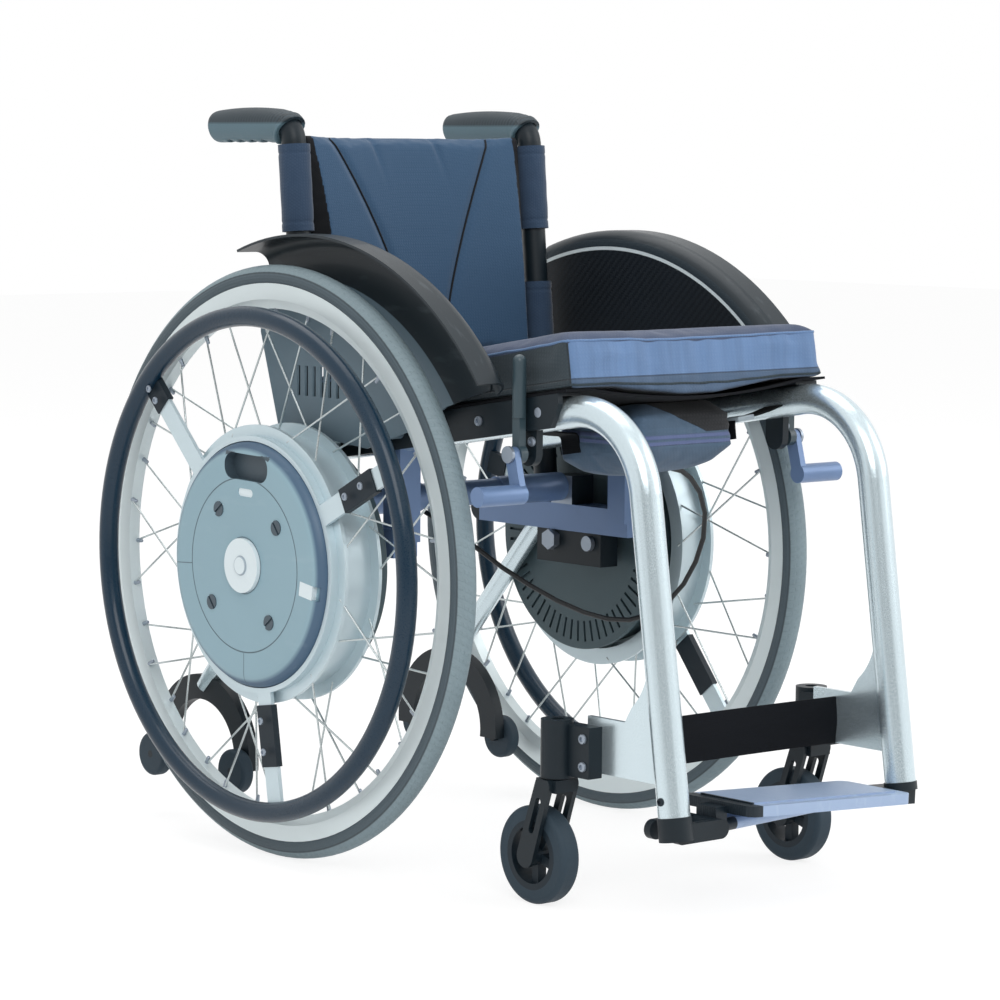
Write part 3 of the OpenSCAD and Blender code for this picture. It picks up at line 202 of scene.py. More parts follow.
def seat_place(point):
    """A point's x, distance along the seat line, and height above it."""
    offset = point - SEAT_START
    return point.x, offset.dot(SEAT_BACK), offset.dot(SEAT_UP)


def post_point(x, z):
    """A point on a back post's middle line at height z."""
    return Vector((x, POST_FOOT_Y + (z - BEAM_TOP) * math.tan(POST_LEAN), z))


def leg_point(x, z):
    """A point on a front tube's middle line at height z."""
    start_y = KNEE.y - KNEE_REACH * math.sin(LEG_LEAN)
    start_z = KNEE.z - KNEE_REACH * math.cos(LEG_LEAN)
    return Vector((x, start_y - (start_z - z) * math.tan(LEG_LEAN), z))


def linear(code):
    """A colour code such as #8090a0 as linear red, green and blue."""
    shares = [int(code[i:i + 2], 16) / 255 for i in (1, 3, 5)]
    return tuple(s / 12.92 if s <= 0.04045 else ((s + 0.055) / 1.055) ** 2.4 for s in shares)


def finish_colour(name, description, code):
    """A colour property with its default from a colour code."""
    return FloatVectorProperty(name=name, description=description, subtype="COLOR", size=3,
                               min=0.0, max=1.0, default=linear(code))


def length(name, description, default):
    """A length property in metres."""
    return FloatProperty(name=name, description=description, default=default, min=0.0,
                         precision=4, subtype="DISTANCE", unit="LENGTH")


class ChairColours(bpy.types.PropertyGroup):
    """Colours of the chair's finishes."""

    tyre_side: finish_colour("Tyre side", "Side walls of the rear tyres", "#4a5860")
    tyre_tread: finish_colour("Tyre tread", "Running surface of the rear tyres", "#7f9198")
    # Also the painted highlight line inside the side guards.
    rim: finish_colour("Rim", "Rear wheel rims", "#dde8ea")
    spoke: finish_colour("Spokes", "Drawn wire spokes", "#c2cacb")
    hub: finish_colour("Hub", "Hub shells and push rim arms", "#c8d8de")
    case_face: finish_colour("Battery case face", "Face of the battery cases and lids", "#8caab6")
    # Partly the edge's own colour, partly painted shade where the rounded edge turns from the light.
    case_edge: finish_colour("Battery case edge", "Rounded outer edge of the battery cases", "#46617a")
    # This colour also draws the cases' parting lines and paints shade into their grip pockets.
    lid_screw: finish_colour("Lid screws", "Slotted screws of the battery lids", "#41505a")
    white: finish_colour("White mouldings", "Axle buttons and battery latches", "#dce8ec")
    push_rim: finish_colour("Push rims", "Coated push rims", "#0c2a3d")
    motor: finish_colour("Motor plates", "Fixed plates of the hub motors", "#47595f")
    black_metal: finish_colour("Black metal", "Black brackets, rails, posts and forks", "#141f26")
    black_moulding: finish_colour("Black mouldings", "Caster cores, brackets and caps", "#15222b")
    caster: finish_colour("Caster rubber", "Caster and anti-tip tyres", "#2f3e49")
    silver: finish_colour("Silver frame", "Front tubes and caster plates", "#d0dfe5")
    steel: finish_colour("Screw steel", "Screws, nuts and spoke nipples", "#97a1ad")
    slate: finish_colour("Slate frame", "Beams, cross tube and brake shoes", "#6780a6")
    footplate: finish_colour("Footplate", "Painted part of the footplate", "#9aaecb")
    back_cloth: finish_colour("Back cloth", "Front of the back upholstery", "#34506c")
    sleeve_cloth: finish_colour("Sleeve cloth", "Sleeves round the back posts", "#30435a")
    # Also the top piping's colour, which along the cushion's sides is a painted highlight.
    front_cloth: finish_colour("Cushion front", "Front panel of the seat cushion", "#5f7ca3")
    top_cloth: finish_colour("Cushion top", "Top panel of the seat cushion", "#3d4a63")
    # This colour is also mixed into the cushion's walls below the seam as painted shade.
    side_cloth: finish_colour("Cushion sides", "Side panels and base of the seat cushion", "#2c383f")
    pouch_cloth: finish_colour("Pouch cloth", "Body of the pouch", "#445a70")
    pouch_rib: finish_colour("Pouch ribs", "Sewn ribs across the pouch", "#5a6590")
    lever: finish_colour("Brake levers", "Rubber sleeves of the brake levers", "#33454d")
    webbing: finish_colour("Webbing", "Sling, straps and calf strap", "#0d1015")
    grip: finish_colour("Grips", "Lower side of the push grips", "#56707b")
    # Its grooves are painted darker and its crests lighter, as painted shade and highlight.
    grip_top: finish_colour("Grip tops", "Ribbed upper side of the push grips", "#26343c")
    carbon_dark: finish_colour("Carbon, dark", "Dark tows inside the side guards", "#0b0d0f")
    carbon_light: finish_colour("Carbon, light", "Light tows inside the side guards", "#171b1e")
    # A lighter copy of this colour is painted on the inner side of the lip as painted light.
    guard_shell: finish_colour("Guard shell", "Rolled lip of the side guards", "#242d33")
    guard_panel: finish_colour("Guard panel", "Flat outside of the side guards", "#6d818d")
    buckle: finish_colour("Buckle", "Strap buckles under the seat", "#8f9ba3")
    cable: finish_colour("Cable", "Jacket of the control cable", "#16191c")


class ChairSizes(bpy.types.PropertyGroup):
    """Sizes of the pieces that the looks add."""

    cushion_voxel: length("Cushion mesh", "Mesh size of the padded pieces", 0.005)
    back_voxel: length("Back mesh", "Mesh size of the back upholstery", 0.003)
    cushion_swell: length("Cushion swell", "Most that the cushion's cover may swell", 0.005)
    back_swell: length("Back swell", "Most that the back upholstery may swell", 0.004)
    pouch_swell: length("Pouch swell", "Most that the pouch may swell", 0.006)
    piping_r: length("Piping", "Radius of the cushion's piping", 0.0012)
    seam_depth: length("Seam depth", "How deep a sewn seam draws the cloth in", 0.0032)
    seam_half_w: length("Seam half width", "How far a seam draws the cloth in to each side", 0.006)
    welt_r: length("Welt", "Radius of the sewn welt in a seam", 0.0012)
    sling_t: length("Sling", "Thickness of the seat sling", 0.0024)
    strap_t: length("Strap", "Thickness of the webbing straps", 0.0022)
    cable_d: length("Cable diameter", "Outside diameter of the control cable", 0.005)
    screw_r: length("Screw head", "Radius of a socket screw's head", 0.0048)
    screw_h: length("Screw height", "Height of a socket screw's head", 0.0028)
    sunk_h: length("Sunk screw height", "How far a sunk screw stands out", 0.0003)
    nipple_r: length("Nipple", "Radius of a spoke nipple", 0.0024)
    nipple_len: length("Nipple length", "Length of a spoke nipple in front of the rim", 0.009)
    floor_reach: length("Floor", "Half the floor's width", 12.0)


class ChairCounts(bpy.types.PropertyGroup):
    """Counts of the repeated forms that the looks add."""

    tread_blocks: IntProperty(name="Tread blocks", description="Cross grooves round a rear tyre",
                              default=220)
    pouch_pleats: IntProperty(name="Pouch pleats", description="Pleats in the pouch's upper band", default=4)


def colours():
    """The colours that the user has set."""
    return bpy.context.scene.chair_colours


def sizes():
    """The sizes that the user has set."""
    return bpy.context.scene.chair_sizes


def counts():
    """The counts that the user has set."""
    return bpy.context.scene.chair_counts


class NodeBoard:
    """Adds and wires the nodes of one material or node group."""

    def __init__(self, tree):
        self.tree = tree
        tree.nodes.clear()

    def fill(self, socket, value):
        """Links a socket to a node's output, or sets its value."""
        if isinstance(value, bpy.types.NodeSocket):
            self.tree.links.new(value, socket)
        else:
            socket.default_value = value

    def add(self, kind, sockets=None, **settings):
        """Adds a node with its settings and its input sockets by name or number."""
        node = self.tree.nodes.new(kind)
        for name, value in settings.items():
            setattr(node, name, value)
        for name, value in (sockets or {}).items():
            self.fill(node.inputs[name], value)
        return node

    def calc(self, operation, first, second=0.0):
        """The output of a Math node."""
        node = self.add("ShaderNodeMath", {0: first, 1: second}, operation=operation)
        return node.outputs[0]

    def plus(self, first, second):
        """The sum of two values."""
        return self.calc("ADD", first, second)

    def minus(self, first, second):
        """The first value less the second."""
        return self.calc("SUBTRACT", first, second)

    def times(self, first, second):
        """The product of two values."""
        return self.calc("MULTIPLY", first, second)

    def hypot(self, first, second):
        """The length of two distances at right angles."""
        return self.calc("SQRT", self.plus(self.times(first, first), self.times(second, second)))

    def parts(self, vector):
        """A vector's X, Y and Z."""
        return self.add("ShaderNodeSeparateXYZ", {0: vector}).outputs

    def mix(self, factor, first, second):
        """Two colours mixed by a factor."""
        node = self.add("ShaderNodeMix", {0: factor, 6: first, 7: second}, data_type="RGBA")
        return node.outputs[2]

    def tone(self, factor, colour, low, high):
        """A colour that goes from one shade of itself to another by a factor."""
        return self.mix(factor, shade(colour, low), shade(colour, high))

    def remap(self, value, low, high, to_low=0.0, to_high=1.0):
        """A value carried from one range to another and kept inside it."""
        node = self.add("ShaderNodeMapRange", {0: value, 1: low, 2: high, 3: to_low, 4: to_high})
        return node.outputs[0]

    def edge(self, value, place, half_width=0.0004):
        """0 before a place and 1 after it, with a short run between."""
        return self.remap(value, place - half_width, place + half_width)

    def line(self, value, place, inner, outer, level=1.0):
        """A line at a place: its level up to the inner distance, and 0 from the outer one."""
        return self.remap(self.calc("ABSOLUTE", self.minus(value, place)), inner, outer, level, 0.0)

    def noise(self, vector, scale, detail=3.0):
        """The grey value of a noise texture."""
        node = self.add("ShaderNodeTexNoise", {"Vector": vector, "Scale": scale, "Detail": detail})
        return node.outputs[0]

    def coordinates(self):
        """The Object coordinates of the surface."""
        return self.add("ShaderNodeTexCoord").outputs["Object"]

    def group(self, tree, sockets):
        """Places a node group with its input values, and gives its outputs."""
        node = self.add("ShaderNodeGroup", node_tree=tree)
        for name, value in sockets.items():
            self.fill(node.inputs[name], value)
        return node.outputs


def new_group(name, inputs, outputs):
    """A new shader node group with named sockets: its board, its inputs, and its output node."""
    tree = bpy.data.node_groups.new(name, "ShaderNodeTree")
    for socket, kind in inputs:
        tree.interface.new_socket(name=socket, in_out="INPUT", socket_type=kind)
    for socket in outputs:
        tree.interface.new_socket(name=socket, in_out="OUTPUT", socket_type="NodeSocketFloat")
    board = NodeBoard(tree)
    return board, board.add("NodeGroupInput").outputs, board.add("NodeGroupOutput").inputs


def surface_grain():
    """Slow clouds, fine grain and thin scuffs that most finishes share."""
    known = bpy.data.node_groups.get("Surface grain")
    if known:
        return known
    board, given, out = new_group(
        "Surface grain", (("Vector", "NodeSocketVector"), ("Cloud scale", "NodeSocketFloat"),
                          ("Grain scale", "NodeSocketFloat")), ("Cloud", "Grain", "Scuff"))
    board.fill(out["Cloud"], board.noise(given["Vector"], given["Cloud scale"], 4.0))
    board.fill(out["Grain"], board.noise(given["Vector"], given["Grain scale"], 2.0))
    stretched = board.add("ShaderNodeMapping", {"Vector": given["Vector"], "Rotation": (0.4, 0.3, 0.9),
                                                "Scale": (140.0, 18.0, 60.0)})
    streaks = board.noise(stretched.outputs[0], 1.0, 5.0)
    board.fill(out["Scuff"], board.remap(streaks, 0.60, 0.76))
    return board.tree


def wheel_rings():
    """Distance from the drive wheels' axis, and the turn round it."""
    known = bpy.data.node_groups.get("Wheel rings")
    if known:
        return known
    board, given, out = new_group(
        "Wheel rings", (("Vector", "NodeSocketVector"),), ("Radius", "Turn", "Across"))
    parts = board.parts(given["Vector"])
    behind = board.minus(parts["Y"], AXLE_Y)
    above = board.minus(parts["Z"], AXLE_Z)
    board.fill(out["Radius"], board.hypot(behind, above))
    board.fill(out["Turn"], board.calc("ARCTAN2", above, behind))
    board.fill(out["Across"], board.minus(board.calc("ABSOLUTE", parts["X"]), TYRE_X))
    return board.tree


def cloth_weave():
    """A plain weave that shows on faces of any direction."""
    known = bpy.data.node_groups.get("Cloth weave")
    if known:
        return known
    board, given, out = new_group(
        "Cloth weave", (("Vector", "NodeSocketVector"), ("Threads per metre", "NodeSocketFloat")),
        ("Height", "Slub"))
    turns = board.times(given["Threads per metre"], math.pi)
    scaled = board.add("ShaderNodeVectorMath", {0: given["Vector"], "Scale": turns}, operation="SCALE")
    parts = board.parts(scaled.outputs[0])
    waves = [board.calc("SINE", parts[axis]) for axis in ("X", "Y", "Z")]
    pairs = [board.times(waves[i], waves[(i + 1) % 3]) for i in range(3)]
    total = board.plus(board.plus(pairs[0], pairs[1]), pairs[2])
    board.fill(out["Height"], board.remap(total, -1.0, 1.0))
    stretched = board.add("ShaderNodeMapping", {"Vector": given["Vector"], "Scale": (900.0, 120.0, 120.0)})
    board.fill(out["Slub"], board.noise(stretched.outputs[0], 1.0, 3.0))
    return board.tree


def carbon_twill():
    """A two by two twill of flat tows in the chair's side plane."""
    known = bpy.data.node_groups.get("Carbon twill")
    if known:
        return known
    board, given, out = new_group(
        "Carbon twill", (("Vector", "NodeSocketVector"), ("Tows per metre", "NodeSocketFloat")),
        ("Warp", "Height"))
    scaled = board.add("ShaderNodeVectorMath", {0: given["Vector"], "Scale": given["Tows per metre"]},
                       operation="SCALE")
    parts = board.parts(scaled.outputs[0])
    across = board.plus(parts["Y"], parts["X"])
    steps = board.plus(board.calc("FLOOR", across), board.calc("FLOOR", parts["Z"]))
    warp = board.calc("LESS_THAN", board.calc("FLOORED_MODULO", steps, 4.0), 2.0)
    board.fill(out["Warp"], warp)
    crown_y, crown_z = (board.calc("SINE", board.times(board.calc("FRACT", run), math.pi))
                        for run in (across, parts["Z"]))
    weft = board.minus(1.0, warp)
    board.fill(out["Height"], board.plus(board.times(crown_y, warp), board.times(crown_z, weft)))
    return board.tree


def shade(colour, share=1.0):
    """A colour made lighter or darker by a share, with full cover."""
    return tuple(min(1.0, part * share) for part in colour) + (1.0,)


def new_finish(name):
    """A new material with its board, coordinates and Principled shader."""
    material = bpy.data.materials.new(name)
    material.use_nodes = True
    board = NodeBoard(material.node_tree)
    shader = board.add("ShaderNodeBsdfPrincipled")
    output = board.add("ShaderNodeOutputMaterial")
    board.fill(output.inputs["Surface"], shader.outputs["BSDF"])
    return material, board, board.coordinates(), shader


def grained(board, place, cloud_scale=9.0, grain_scale=1400.0):
    """The clouds, grain and scuffs of a surface."""
    scales = {"Cloud scale": cloud_scale, "Grain scale": grain_scale}
    return board.group(surface_grain(), {"Vector": place, **scales})


def set_roughness(board, shader, grain, low, high):
    """Roughness between two levels, as the grain goes."""
    board.fill(shader.inputs["Roughness"], board.remap(grain["Grain"], GRAIN_LOW, GRAIN_HIGH, low, high))


def set_bump(board, shader, height, depth, strength=1.0):
    """Raises the surface by a height that the nodes give."""
    bump = board.add("ShaderNodeBump", {"Height": height, "Distance": depth, "Strength": strength})
    board.fill(shader.inputs["Normal"], bump.outputs[0])


def hard_finish(name, colour, roughness, metallic=0.0, coat=0.0, grain_scale=1400.0,
                cloud_share=0.07, scuff_share=0.12, grain_depth=0.00006, specular=0.5):
    """Painted, anodised or moulded surface: slow shade changes, fine grain and light scuffs."""
    material, board, place, shader = new_finish(name)
    grain = grained(board, place, grain_scale=grain_scale)
    base = board.tone(grain["Cloud"], colour, 1.0 - cloud_share, 1.0 + cloud_share)
    worn = tuple(min(1.0, part * 1.35 + 0.01) for part in colour)
    scuff = board.times(grain["Scuff"], scuff_share)
    board.fill(shader.inputs["Base Color"], board.mix(scuff, base, shade(worn)))
    low = max(0.05, roughness - ROUGH_SPREAD)
    spread = board.remap(grain["Grain"], GRAIN_LOW, GRAIN_HIGH, low, roughness + ROUGH_SPREAD)
    board.fill(shader.inputs["Roughness"], board.plus(spread, board.times(scuff, 0.5)))
    shader.inputs["Metallic"].default_value = metallic
    shader.inputs["Coat Weight"].default_value = coat
    shader.inputs["Specular IOR Level"].default_value = specular
    set_bump(board, shader, grain["Grain"], grain_depth)
    return material


def turned_finish(name, colour, roughness, metallic, lines_per_metre, line_depth):
    """Turned or rolled metal with fine rings round the wheel's axis."""
    material, board, place, shader = new_finish(name)
    grain = grained(board, place, 7.0, 900.0)
    rings = board.group(wheel_rings(), {"Vector": place})
    turned = board.calc("SINE", board.times(rings["Radius"], lines_per_metre * 2 * math.pi))
    base = board.tone(grain["Cloud"], colour, 0.93, 1.05)
    scuff = board.times(grain["Scuff"], 0.1)
    board.fill(shader.inputs["Base Color"], board.mix(scuff, base, shade(colour, 0.72)))
    set_roughness(board, shader, grain, roughness - ROUGH_SPREAD, roughness + ROUGH_SPREAD)
    shader.inputs["Metallic"].default_value = metallic
    set_bump(board, shader, board.plus(board.times(turned, 0.5), grain["Grain"]), line_depth)
    return material


def tyre_finish():
    """Rear tyre: smooth side walls, and a paler grooved tread behind a dark shoulder line."""
    material, board, place, shader = new_finish("Tyre rubber")
    grain = grained(board, place, 14.0, 700.0)
    rings = board.group(wheel_rings(), {"Vector": place})
    tread = board.remap(rings["Radius"], TREAD_START_R, TREAD_FULL_R)
    shoulder = board.times(board.remap(rings["Radius"], SHOULDER_R, TREAD_START_R),
                           board.remap(rings["Radius"], TREAD_FULL_R, TREAD_START_R))
    side = board.tone(grain["Cloud"], colours().tyre_side, 0.88, 1.1)
    run = board.tone(grain["Cloud"], colours().tyre_tread, 0.86, 1.08)
    base = board.mix(tread, side, run)
    board.fill(shader.inputs["Base Color"], board.mix(shoulder, base, shade(colours().tyre_side, 0.55)))
    set_roughness(board, shader, grain, 0.52, 0.7)
    round_tyre = board.times(rings["Turn"], float(counts().tread_blocks))
    slant = board.plus(round_tyre, board.times(rings["Across"], 420.0))
    blocks = board.remap(board.calc("SINE", slant), -0.2, 0.4)
    grooves = board.remap(board.calc("COSINE", board.times(rings["Across"], 1300.0)), -0.9, -0.5)
    pattern = board.times(board.times(blocks, grooves), tread)
    side_line = board.calc("SINE", board.times(rings["Radius"], 2100.0))
    lines = board.times(side_line, board.minus(0.25, board.times(tread, 0.25)))
    height = board.plus(board.plus(pattern, lines), board.times(grain["Grain"], 0.15))
    set_bump(board, shader, height, 0.0004)
    return material


def case_finish():
    """Battery case: grey moulded face with two parting lines and two rings, and a darker rounded edge,
    partly its own colour and partly painted shade where the edge turns from the light.
    """
    material, board, place, shader = new_finish("Battery case moulding")
    grain = grained(board, place, 6.0, 1500.0)
    rings = board.group(wheel_rings(), {"Vector": place})
    face = board.tone(grain["Cloud"], colours().case_face, 0.95, 1.05)
    rim = board.tone(grain["Cloud"], colours().case_edge, 0.93, 1.07)
    # The darker edge is partly the case's own colour and partly painted shade of the rounded edge.
    base = board.mix(board.remap(rings["Radius"], CASE_EDGE_R, CASE_SIDE_R), face, rim)
    below = board.calc("ABSOLUTE", board.plus(rings["Turn"], math.pi / 2))
    behind = board.calc("ABSOLUTE", board.plus(rings["Turn"], 0.06))
    off = board.times(board.calc("MINIMUM", below, behind), rings["Radius"])
    outside_lid = board.calc("GREATER_THAN", rings["Radius"], LID_R)
    parting = board.times(board.remap(off, 0.0003, 0.0007, 1.0, 0.0), outside_lid)
    rounds = [board.line(rings["Radius"], radius, 0.0003, 0.0010) for radius in (LID_R, BUTTON_GAP_R)]
    line = board.calc("MAXIMUM", parting, board.calc("MAXIMUM", *rounds))
    lined = board.mix(board.times(line, 0.7), base, shade(colours().lid_screw))
    scuff = board.times(grain["Scuff"], 0.07)
    board.fill(shader.inputs["Base Color"], board.mix(scuff, lined, shade(colours().white, 0.9)))
    set_roughness(board, shader, grain, 0.36, 0.5)
    set_bump(board, shader, board.minus(grain["Grain"], board.times(line, 3.0)), 0.00008)
    return material


def white_finish():
    """White mouldings: smooth and slightly worn, with a ring round the middle of the axle buttons."""
    material, board, place, shader = new_finish("White moulding")
    grain = grained(board, place)
    rings = board.group(wheel_rings(), {"Vector": place})
    ring = board.line(rings["Radius"], BUTTON_DOT_R, 0.0004, 0.0012, 0.5)
    base = board.tone(grain["Cloud"], colours().white, 0.97, 1.03)
    worn = board.mix(board.times(grain["Scuff"], 0.05), base, shade(colours().case_face))
    board.fill(shader.inputs["Base Color"], board.mix(ring, worn, shade(colours().case_edge)))
    set_roughness(board, shader, grain, 0.3, 0.4)
    shader.inputs["Coat Weight"].default_value = 0.2
    set_bump(board, shader, grain["Grain"], 0.00005)
    return material


def carbon_finish():
    """Inside of the side guards: matt carbon twill, a bright painted highlight line below the lip, and a
    lighter copy of the shell colour on the lip as painted light.
    """
    material, board, place, shader = new_finish("Guard carbon")
    grain = grained(board, place, 8.0, 500.0)
    twill = board.group(carbon_twill(), {"Vector": place, "Tows per metre": 420.0})
    tows = board.mix(twill["Warp"], shade(colours().carbon_dark), shade(colours().carbon_light))
    dusty = board.mix(board.times(grain["Cloud"], 0.08), tows, shade(colours().case_edge))
    parts = board.parts(place)
    reach = board.hypot(board.minus(parts["Y"], GUARD_CENTRE_Y), board.minus(parts["Z"], GUARD_CENTRE_Z))
    highlight_end = GUARD_HIGHLIGHT_R + GUARD_HIGHLIGHT_W
    # A bright line in the rim's colour just below the lip: a painted highlight.
    lined = board.mix(board.edge(reach, GUARD_HIGHLIGHT_R, 0.0003), dusty, shade(colours().rim))
    # Past the line, a lighter copy of the shell colour: painted light on the lip's inner side.
    beyond = board.remap(reach, highlight_end, highlight_end + 0.0006)
    board.fill(shader.inputs["Base Color"], board.mix(beyond, lined, shade(colours().guard_shell, 1.4)))
    board.fill(shader.inputs["Roughness"], board.remap(twill["Warp"], 0.0, 1.0, 0.52, 0.62))
    shader.inputs["Specular IOR Level"].default_value = 0.25
    set_bump(board, shader, twill["Height"], 0.0002, 0.4)
    return material


def guard_finish():
    """Outside of the side guards: a grey panel behind the wheel, and a dark lip above the tyre."""
    material, board, place, shader = new_finish("Guard shell")
    grain = grained(board, place)
    rings = board.group(wheel_rings(), {"Vector": place})
    lip = board.edge(rings["Radius"], GUARD_PANEL_R, 0.0005)
    tone = board.mix(lip, shade(colours().guard_panel), shade(colours().guard_shell))
    dulled = board.mix(board.times(grain["Cloud"], 0.15), tone, shade(colours().carbon_dark))
    scuff = board.times(grain["Scuff"], 0.1)
    board.fill(shader.inputs["Base Color"], board.mix(scuff, dulled, shade(colours().buckle)))
    set_roughness(board, shader, grain, 0.34, 0.46)
    shader.inputs["Coat Weight"].default_value = 0.1
    shader.inputs["Specular IOR Level"].default_value = 0.25
    set_bump(board, shader, grain["Grain"], 0.00003)
    return material


def cloth_finish(name, colour, threads_per_metre, sheen=0.25, slub_share=0.06, depth=0.0001, specular=0.3):
    """Woven cloth: fine threads, uneven yarn and soft sheen."""
    material, board, place, shader = new_finish(name)
    grain = grained(board, place, 11.0, 800.0)
    weave = board.group(cloth_weave(), {"Vector": place, "Threads per metre": threads_per_metre})
    yarn = board.tone(weave["Slub"], colour, 1.0 - slub_share, 1.0 + slub_share)
    thread = board.tone(weave["Height"], colour, 0.95, 1.04)
    woven = board.mix(0.5, yarn, thread)
    faded = board.mix(board.times(grain["Cloud"], 0.5), woven, shade(colour, 1.05))
    board.fill(shader.inputs["Base Color"], faded)
    board.fill(shader.inputs["Roughness"], board.remap(weave["Height"], 0.0, 1.0, 0.90, 0.76))
    shader.inputs["Sheen Weight"].default_value = sheen
    shader.inputs["Sheen Roughness"].default_value = 0.45
    shader.inputs["Specular IOR Level"].default_value = specular
    set_bump(board, shader, board.plus(weave["Height"], board.times(grain["Grain"], 0.4)), depth)
    return material


def seat_distance(board, place, axis):
    """How far a surface point lies along one axis of the seat."""
    reach = board.add("ShaderNodeVectorMath", {0: place, 1: axis}, operation="DOT_PRODUCT").outputs["Value"]
    return board.minus(reach, SEAT_START.dot(axis))


def streaked(board, place, colour, scale):
    """A cloth colour with soft streaks: painted light and shade of folds, and uneven wear."""
    stretched = board.add("ShaderNodeMapping", {"Vector": place, "Scale": scale})
    streaks = board.remap(board.noise(stretched.outputs[0], 1.0, 3.0), 0.35, 0.65)
    return board.tone(streaks, colour, 0.9, 1.08)


def cushion_finish():
    """Seat cushion: top, front and sides from three cloths with sewn edges, and painted shade that darkens
    the walls below the seam.
    """
    material, board, place, shader = new_finish("Cushion cloth")
    weave = board.group(cloth_weave(), {"Vector": place, "Threads per metre": 520.0})
    rise = seat_distance(board, place, SEAT_UP)
    along = seat_distance(board, place, SEAT_BACK)
    from_side = board.minus(CUSHION_HALF_W, board.calc("ABSOLUTE", board.parts(place)["X"]))
    from_front = board.minus(along, CUSHION_FRONT)
    from_back = board.minus(CUSHION_FRONT + CUSHION_DEPTH, along)
    from_top = board.minus(CUSHION_LIFT + CUSHION_H, rise)
    from_edge = board.calc("MINIMUM", board.calc("MINIMUM", from_side, from_front), from_back)
    from_wall = board.calc("MINIMUM", from_edge, board.minus(rise, CUSHION_LIFT))
    at_front = board.minus(from_side, from_front)
    # The front's upright streaks are painted light and shade of its folds.
    front = streaked(board, place, colours().front_cloth, (75.0, 6.0, 6.0))
    side = streaked(board, place, colours().side_cloth, (20.0, 20.0, 20.0))
    top = streaked(board, place, colours().top_cloth, (14.0, 14.0, 14.0))
    walls = board.mix(board.edge(at_front, 0.0), side, front)
    # Below the seam the walls are mixed towards the side cloth: painted shade along the bottom of the
    # cushion.
    above_seam = board.edge(rise, CUSHION_SEAM_H)
    base = board.mix(board.remap(above_seam, 0.0, 1.0, 0.6, 0.0), walls, shade(colours().side_cloth))
    edge_line = board.line(at_front, -0.0012, 0.0006, 0.0018)
    seam_line = board.line(rise, CUSHION_SEAM_H, 0.0004, 0.0009)
    line = board.calc("MAXIMUM", edge_line, seam_line)
    sewn = board.mix(board.times(line, 0.55), base, shade(colours().webbing))
    at_top = board.edge(board.minus(from_wall, from_top), 0.0)
    board.fill(shader.inputs["Base Color"], board.mix(at_top, sewn, top))
    board.fill(shader.inputs["Roughness"], board.remap(weave["Height"], 0.0, 1.0, 0.88, 0.76))
    shader.inputs["Sheen Weight"].default_value = 0.15
    shader.inputs["Sheen Roughness"].default_value = 0.45
    set_bump(board, shader, board.minus(weave["Height"], board.times(line, 4.0)), 0.0001)
    return material


def pouch_finish():
    """Pouch: streaked cloth with two sewn ribs, and a dark flap with a slanted edge above them."""
    material, board, place, shader = new_finish("Pouch cloth")
    weave = board.group(cloth_weave(), {"Vector": place, "Threads per metre": 480.0})
    parts = board.parts(place)
    body = streaked(board, place, colours().pouch_cloth, (55.0, 55.0, 9.0))
    ribs = board.calc("MAXIMUM", *[board.line(parts["Z"], z, 0.0012, 0.0024) for z in POUCH_RIBS])
    ribbed = board.mix(board.times(ribs, 0.75), body, shade(colours().pouch_rib))
    slant = board.minus(POUCH_FLAP_Z, board.times(parts["X"], POUCH_FLAP_SLOPE))
    flap_edge = board.calc("MAXIMUM", slant, POUCH_FLAP_LOW)
    flap = board.edge(board.minus(parts["Z"], flap_edge), 0.0)
    board.fill(shader.inputs["Base Color"], board.mix(flap, ribbed, shade(colours().webbing, 1.2)))
    board.fill(shader.inputs["Roughness"], board.remap(weave["Height"], 0.0, 1.0, 0.88, 0.76))
    shader.inputs["Sheen Weight"].default_value = 0.1
    raised = board.times(board.calc("MAXIMUM", ribs, flap), 8.0)
    set_bump(board, shader, board.plus(weave["Height"], raised), 0.0001)
    return material


def footplate_finish():
    """Footplate: painted metal with a black cap at its hinged end, and fine cross ridges."""
    material, board, place, shader = new_finish("Footplate paint")
    grain = grained(board, place, 9.0, 1300.0)
    parts = board.parts(place)
    paint = board.tone(grain["Cloud"], colours().footplate, 0.94, 1.06)
    worn = board.mix(board.times(grain["Scuff"], 0.18), paint, shade(colours().silver))
    past_cap = board.edge(parts["X"], FOOT_BLACK_X)
    board.fill(shader.inputs["Base Color"], board.mix(past_cap, shade(colours().black_moulding), worn))
    set_roughness(board, shader, grain, 0.34, 0.48)
    shader.inputs["Metallic"].default_value = 0.25
    ridges = board.calc("SINE", board.times(parts["Y"], 2200.0))
    set_bump(board, shader, board.plus(grain["Grain"], board.times(ridges, 0.8)), 0.0001)
    return material


def grip_finish():
    """Push grips: soft rubber, smooth and pale below, dark and slant ribbed on top, with the ribs' grooves
    painted darker and their crests lighter as painted shade and highlight.
    """
    material, board, place, shader = new_finish("Grip rubber")
    grain = grained(board, place, 16.0, 900.0)
    parts = board.parts(place)
    upper = board.remap(parts["Z"], HANDLE_Z, HANDLE_Z + 0.003)
    slant = board.plus(board.times(parts["Y"], GRIP_RIBS_Y), board.times(parts["X"], GRIP_RIBS_X))
    ribs = board.times(board.remap(board.calc("SINE", slant), 0.5, -0.5), upper)
    base = board.tone(grain["Cloud"], colours().grip, 0.92, 1.06)
    # Grooves between the ribs darker and crests lighter: painted shade and highlight.
    ribs_painted_shade = board.tone(ribs, colours().grip_top, 0.7, 1.15)
    board.fill(shader.inputs["Base Color"], board.mix(upper, base, ribs_painted_shade))
    set_roughness(board, shader, grain, 0.48, 0.62)
    set_bump(board, shader, grain["Grain"], 0.00012)
    return material


FINISHES = {}


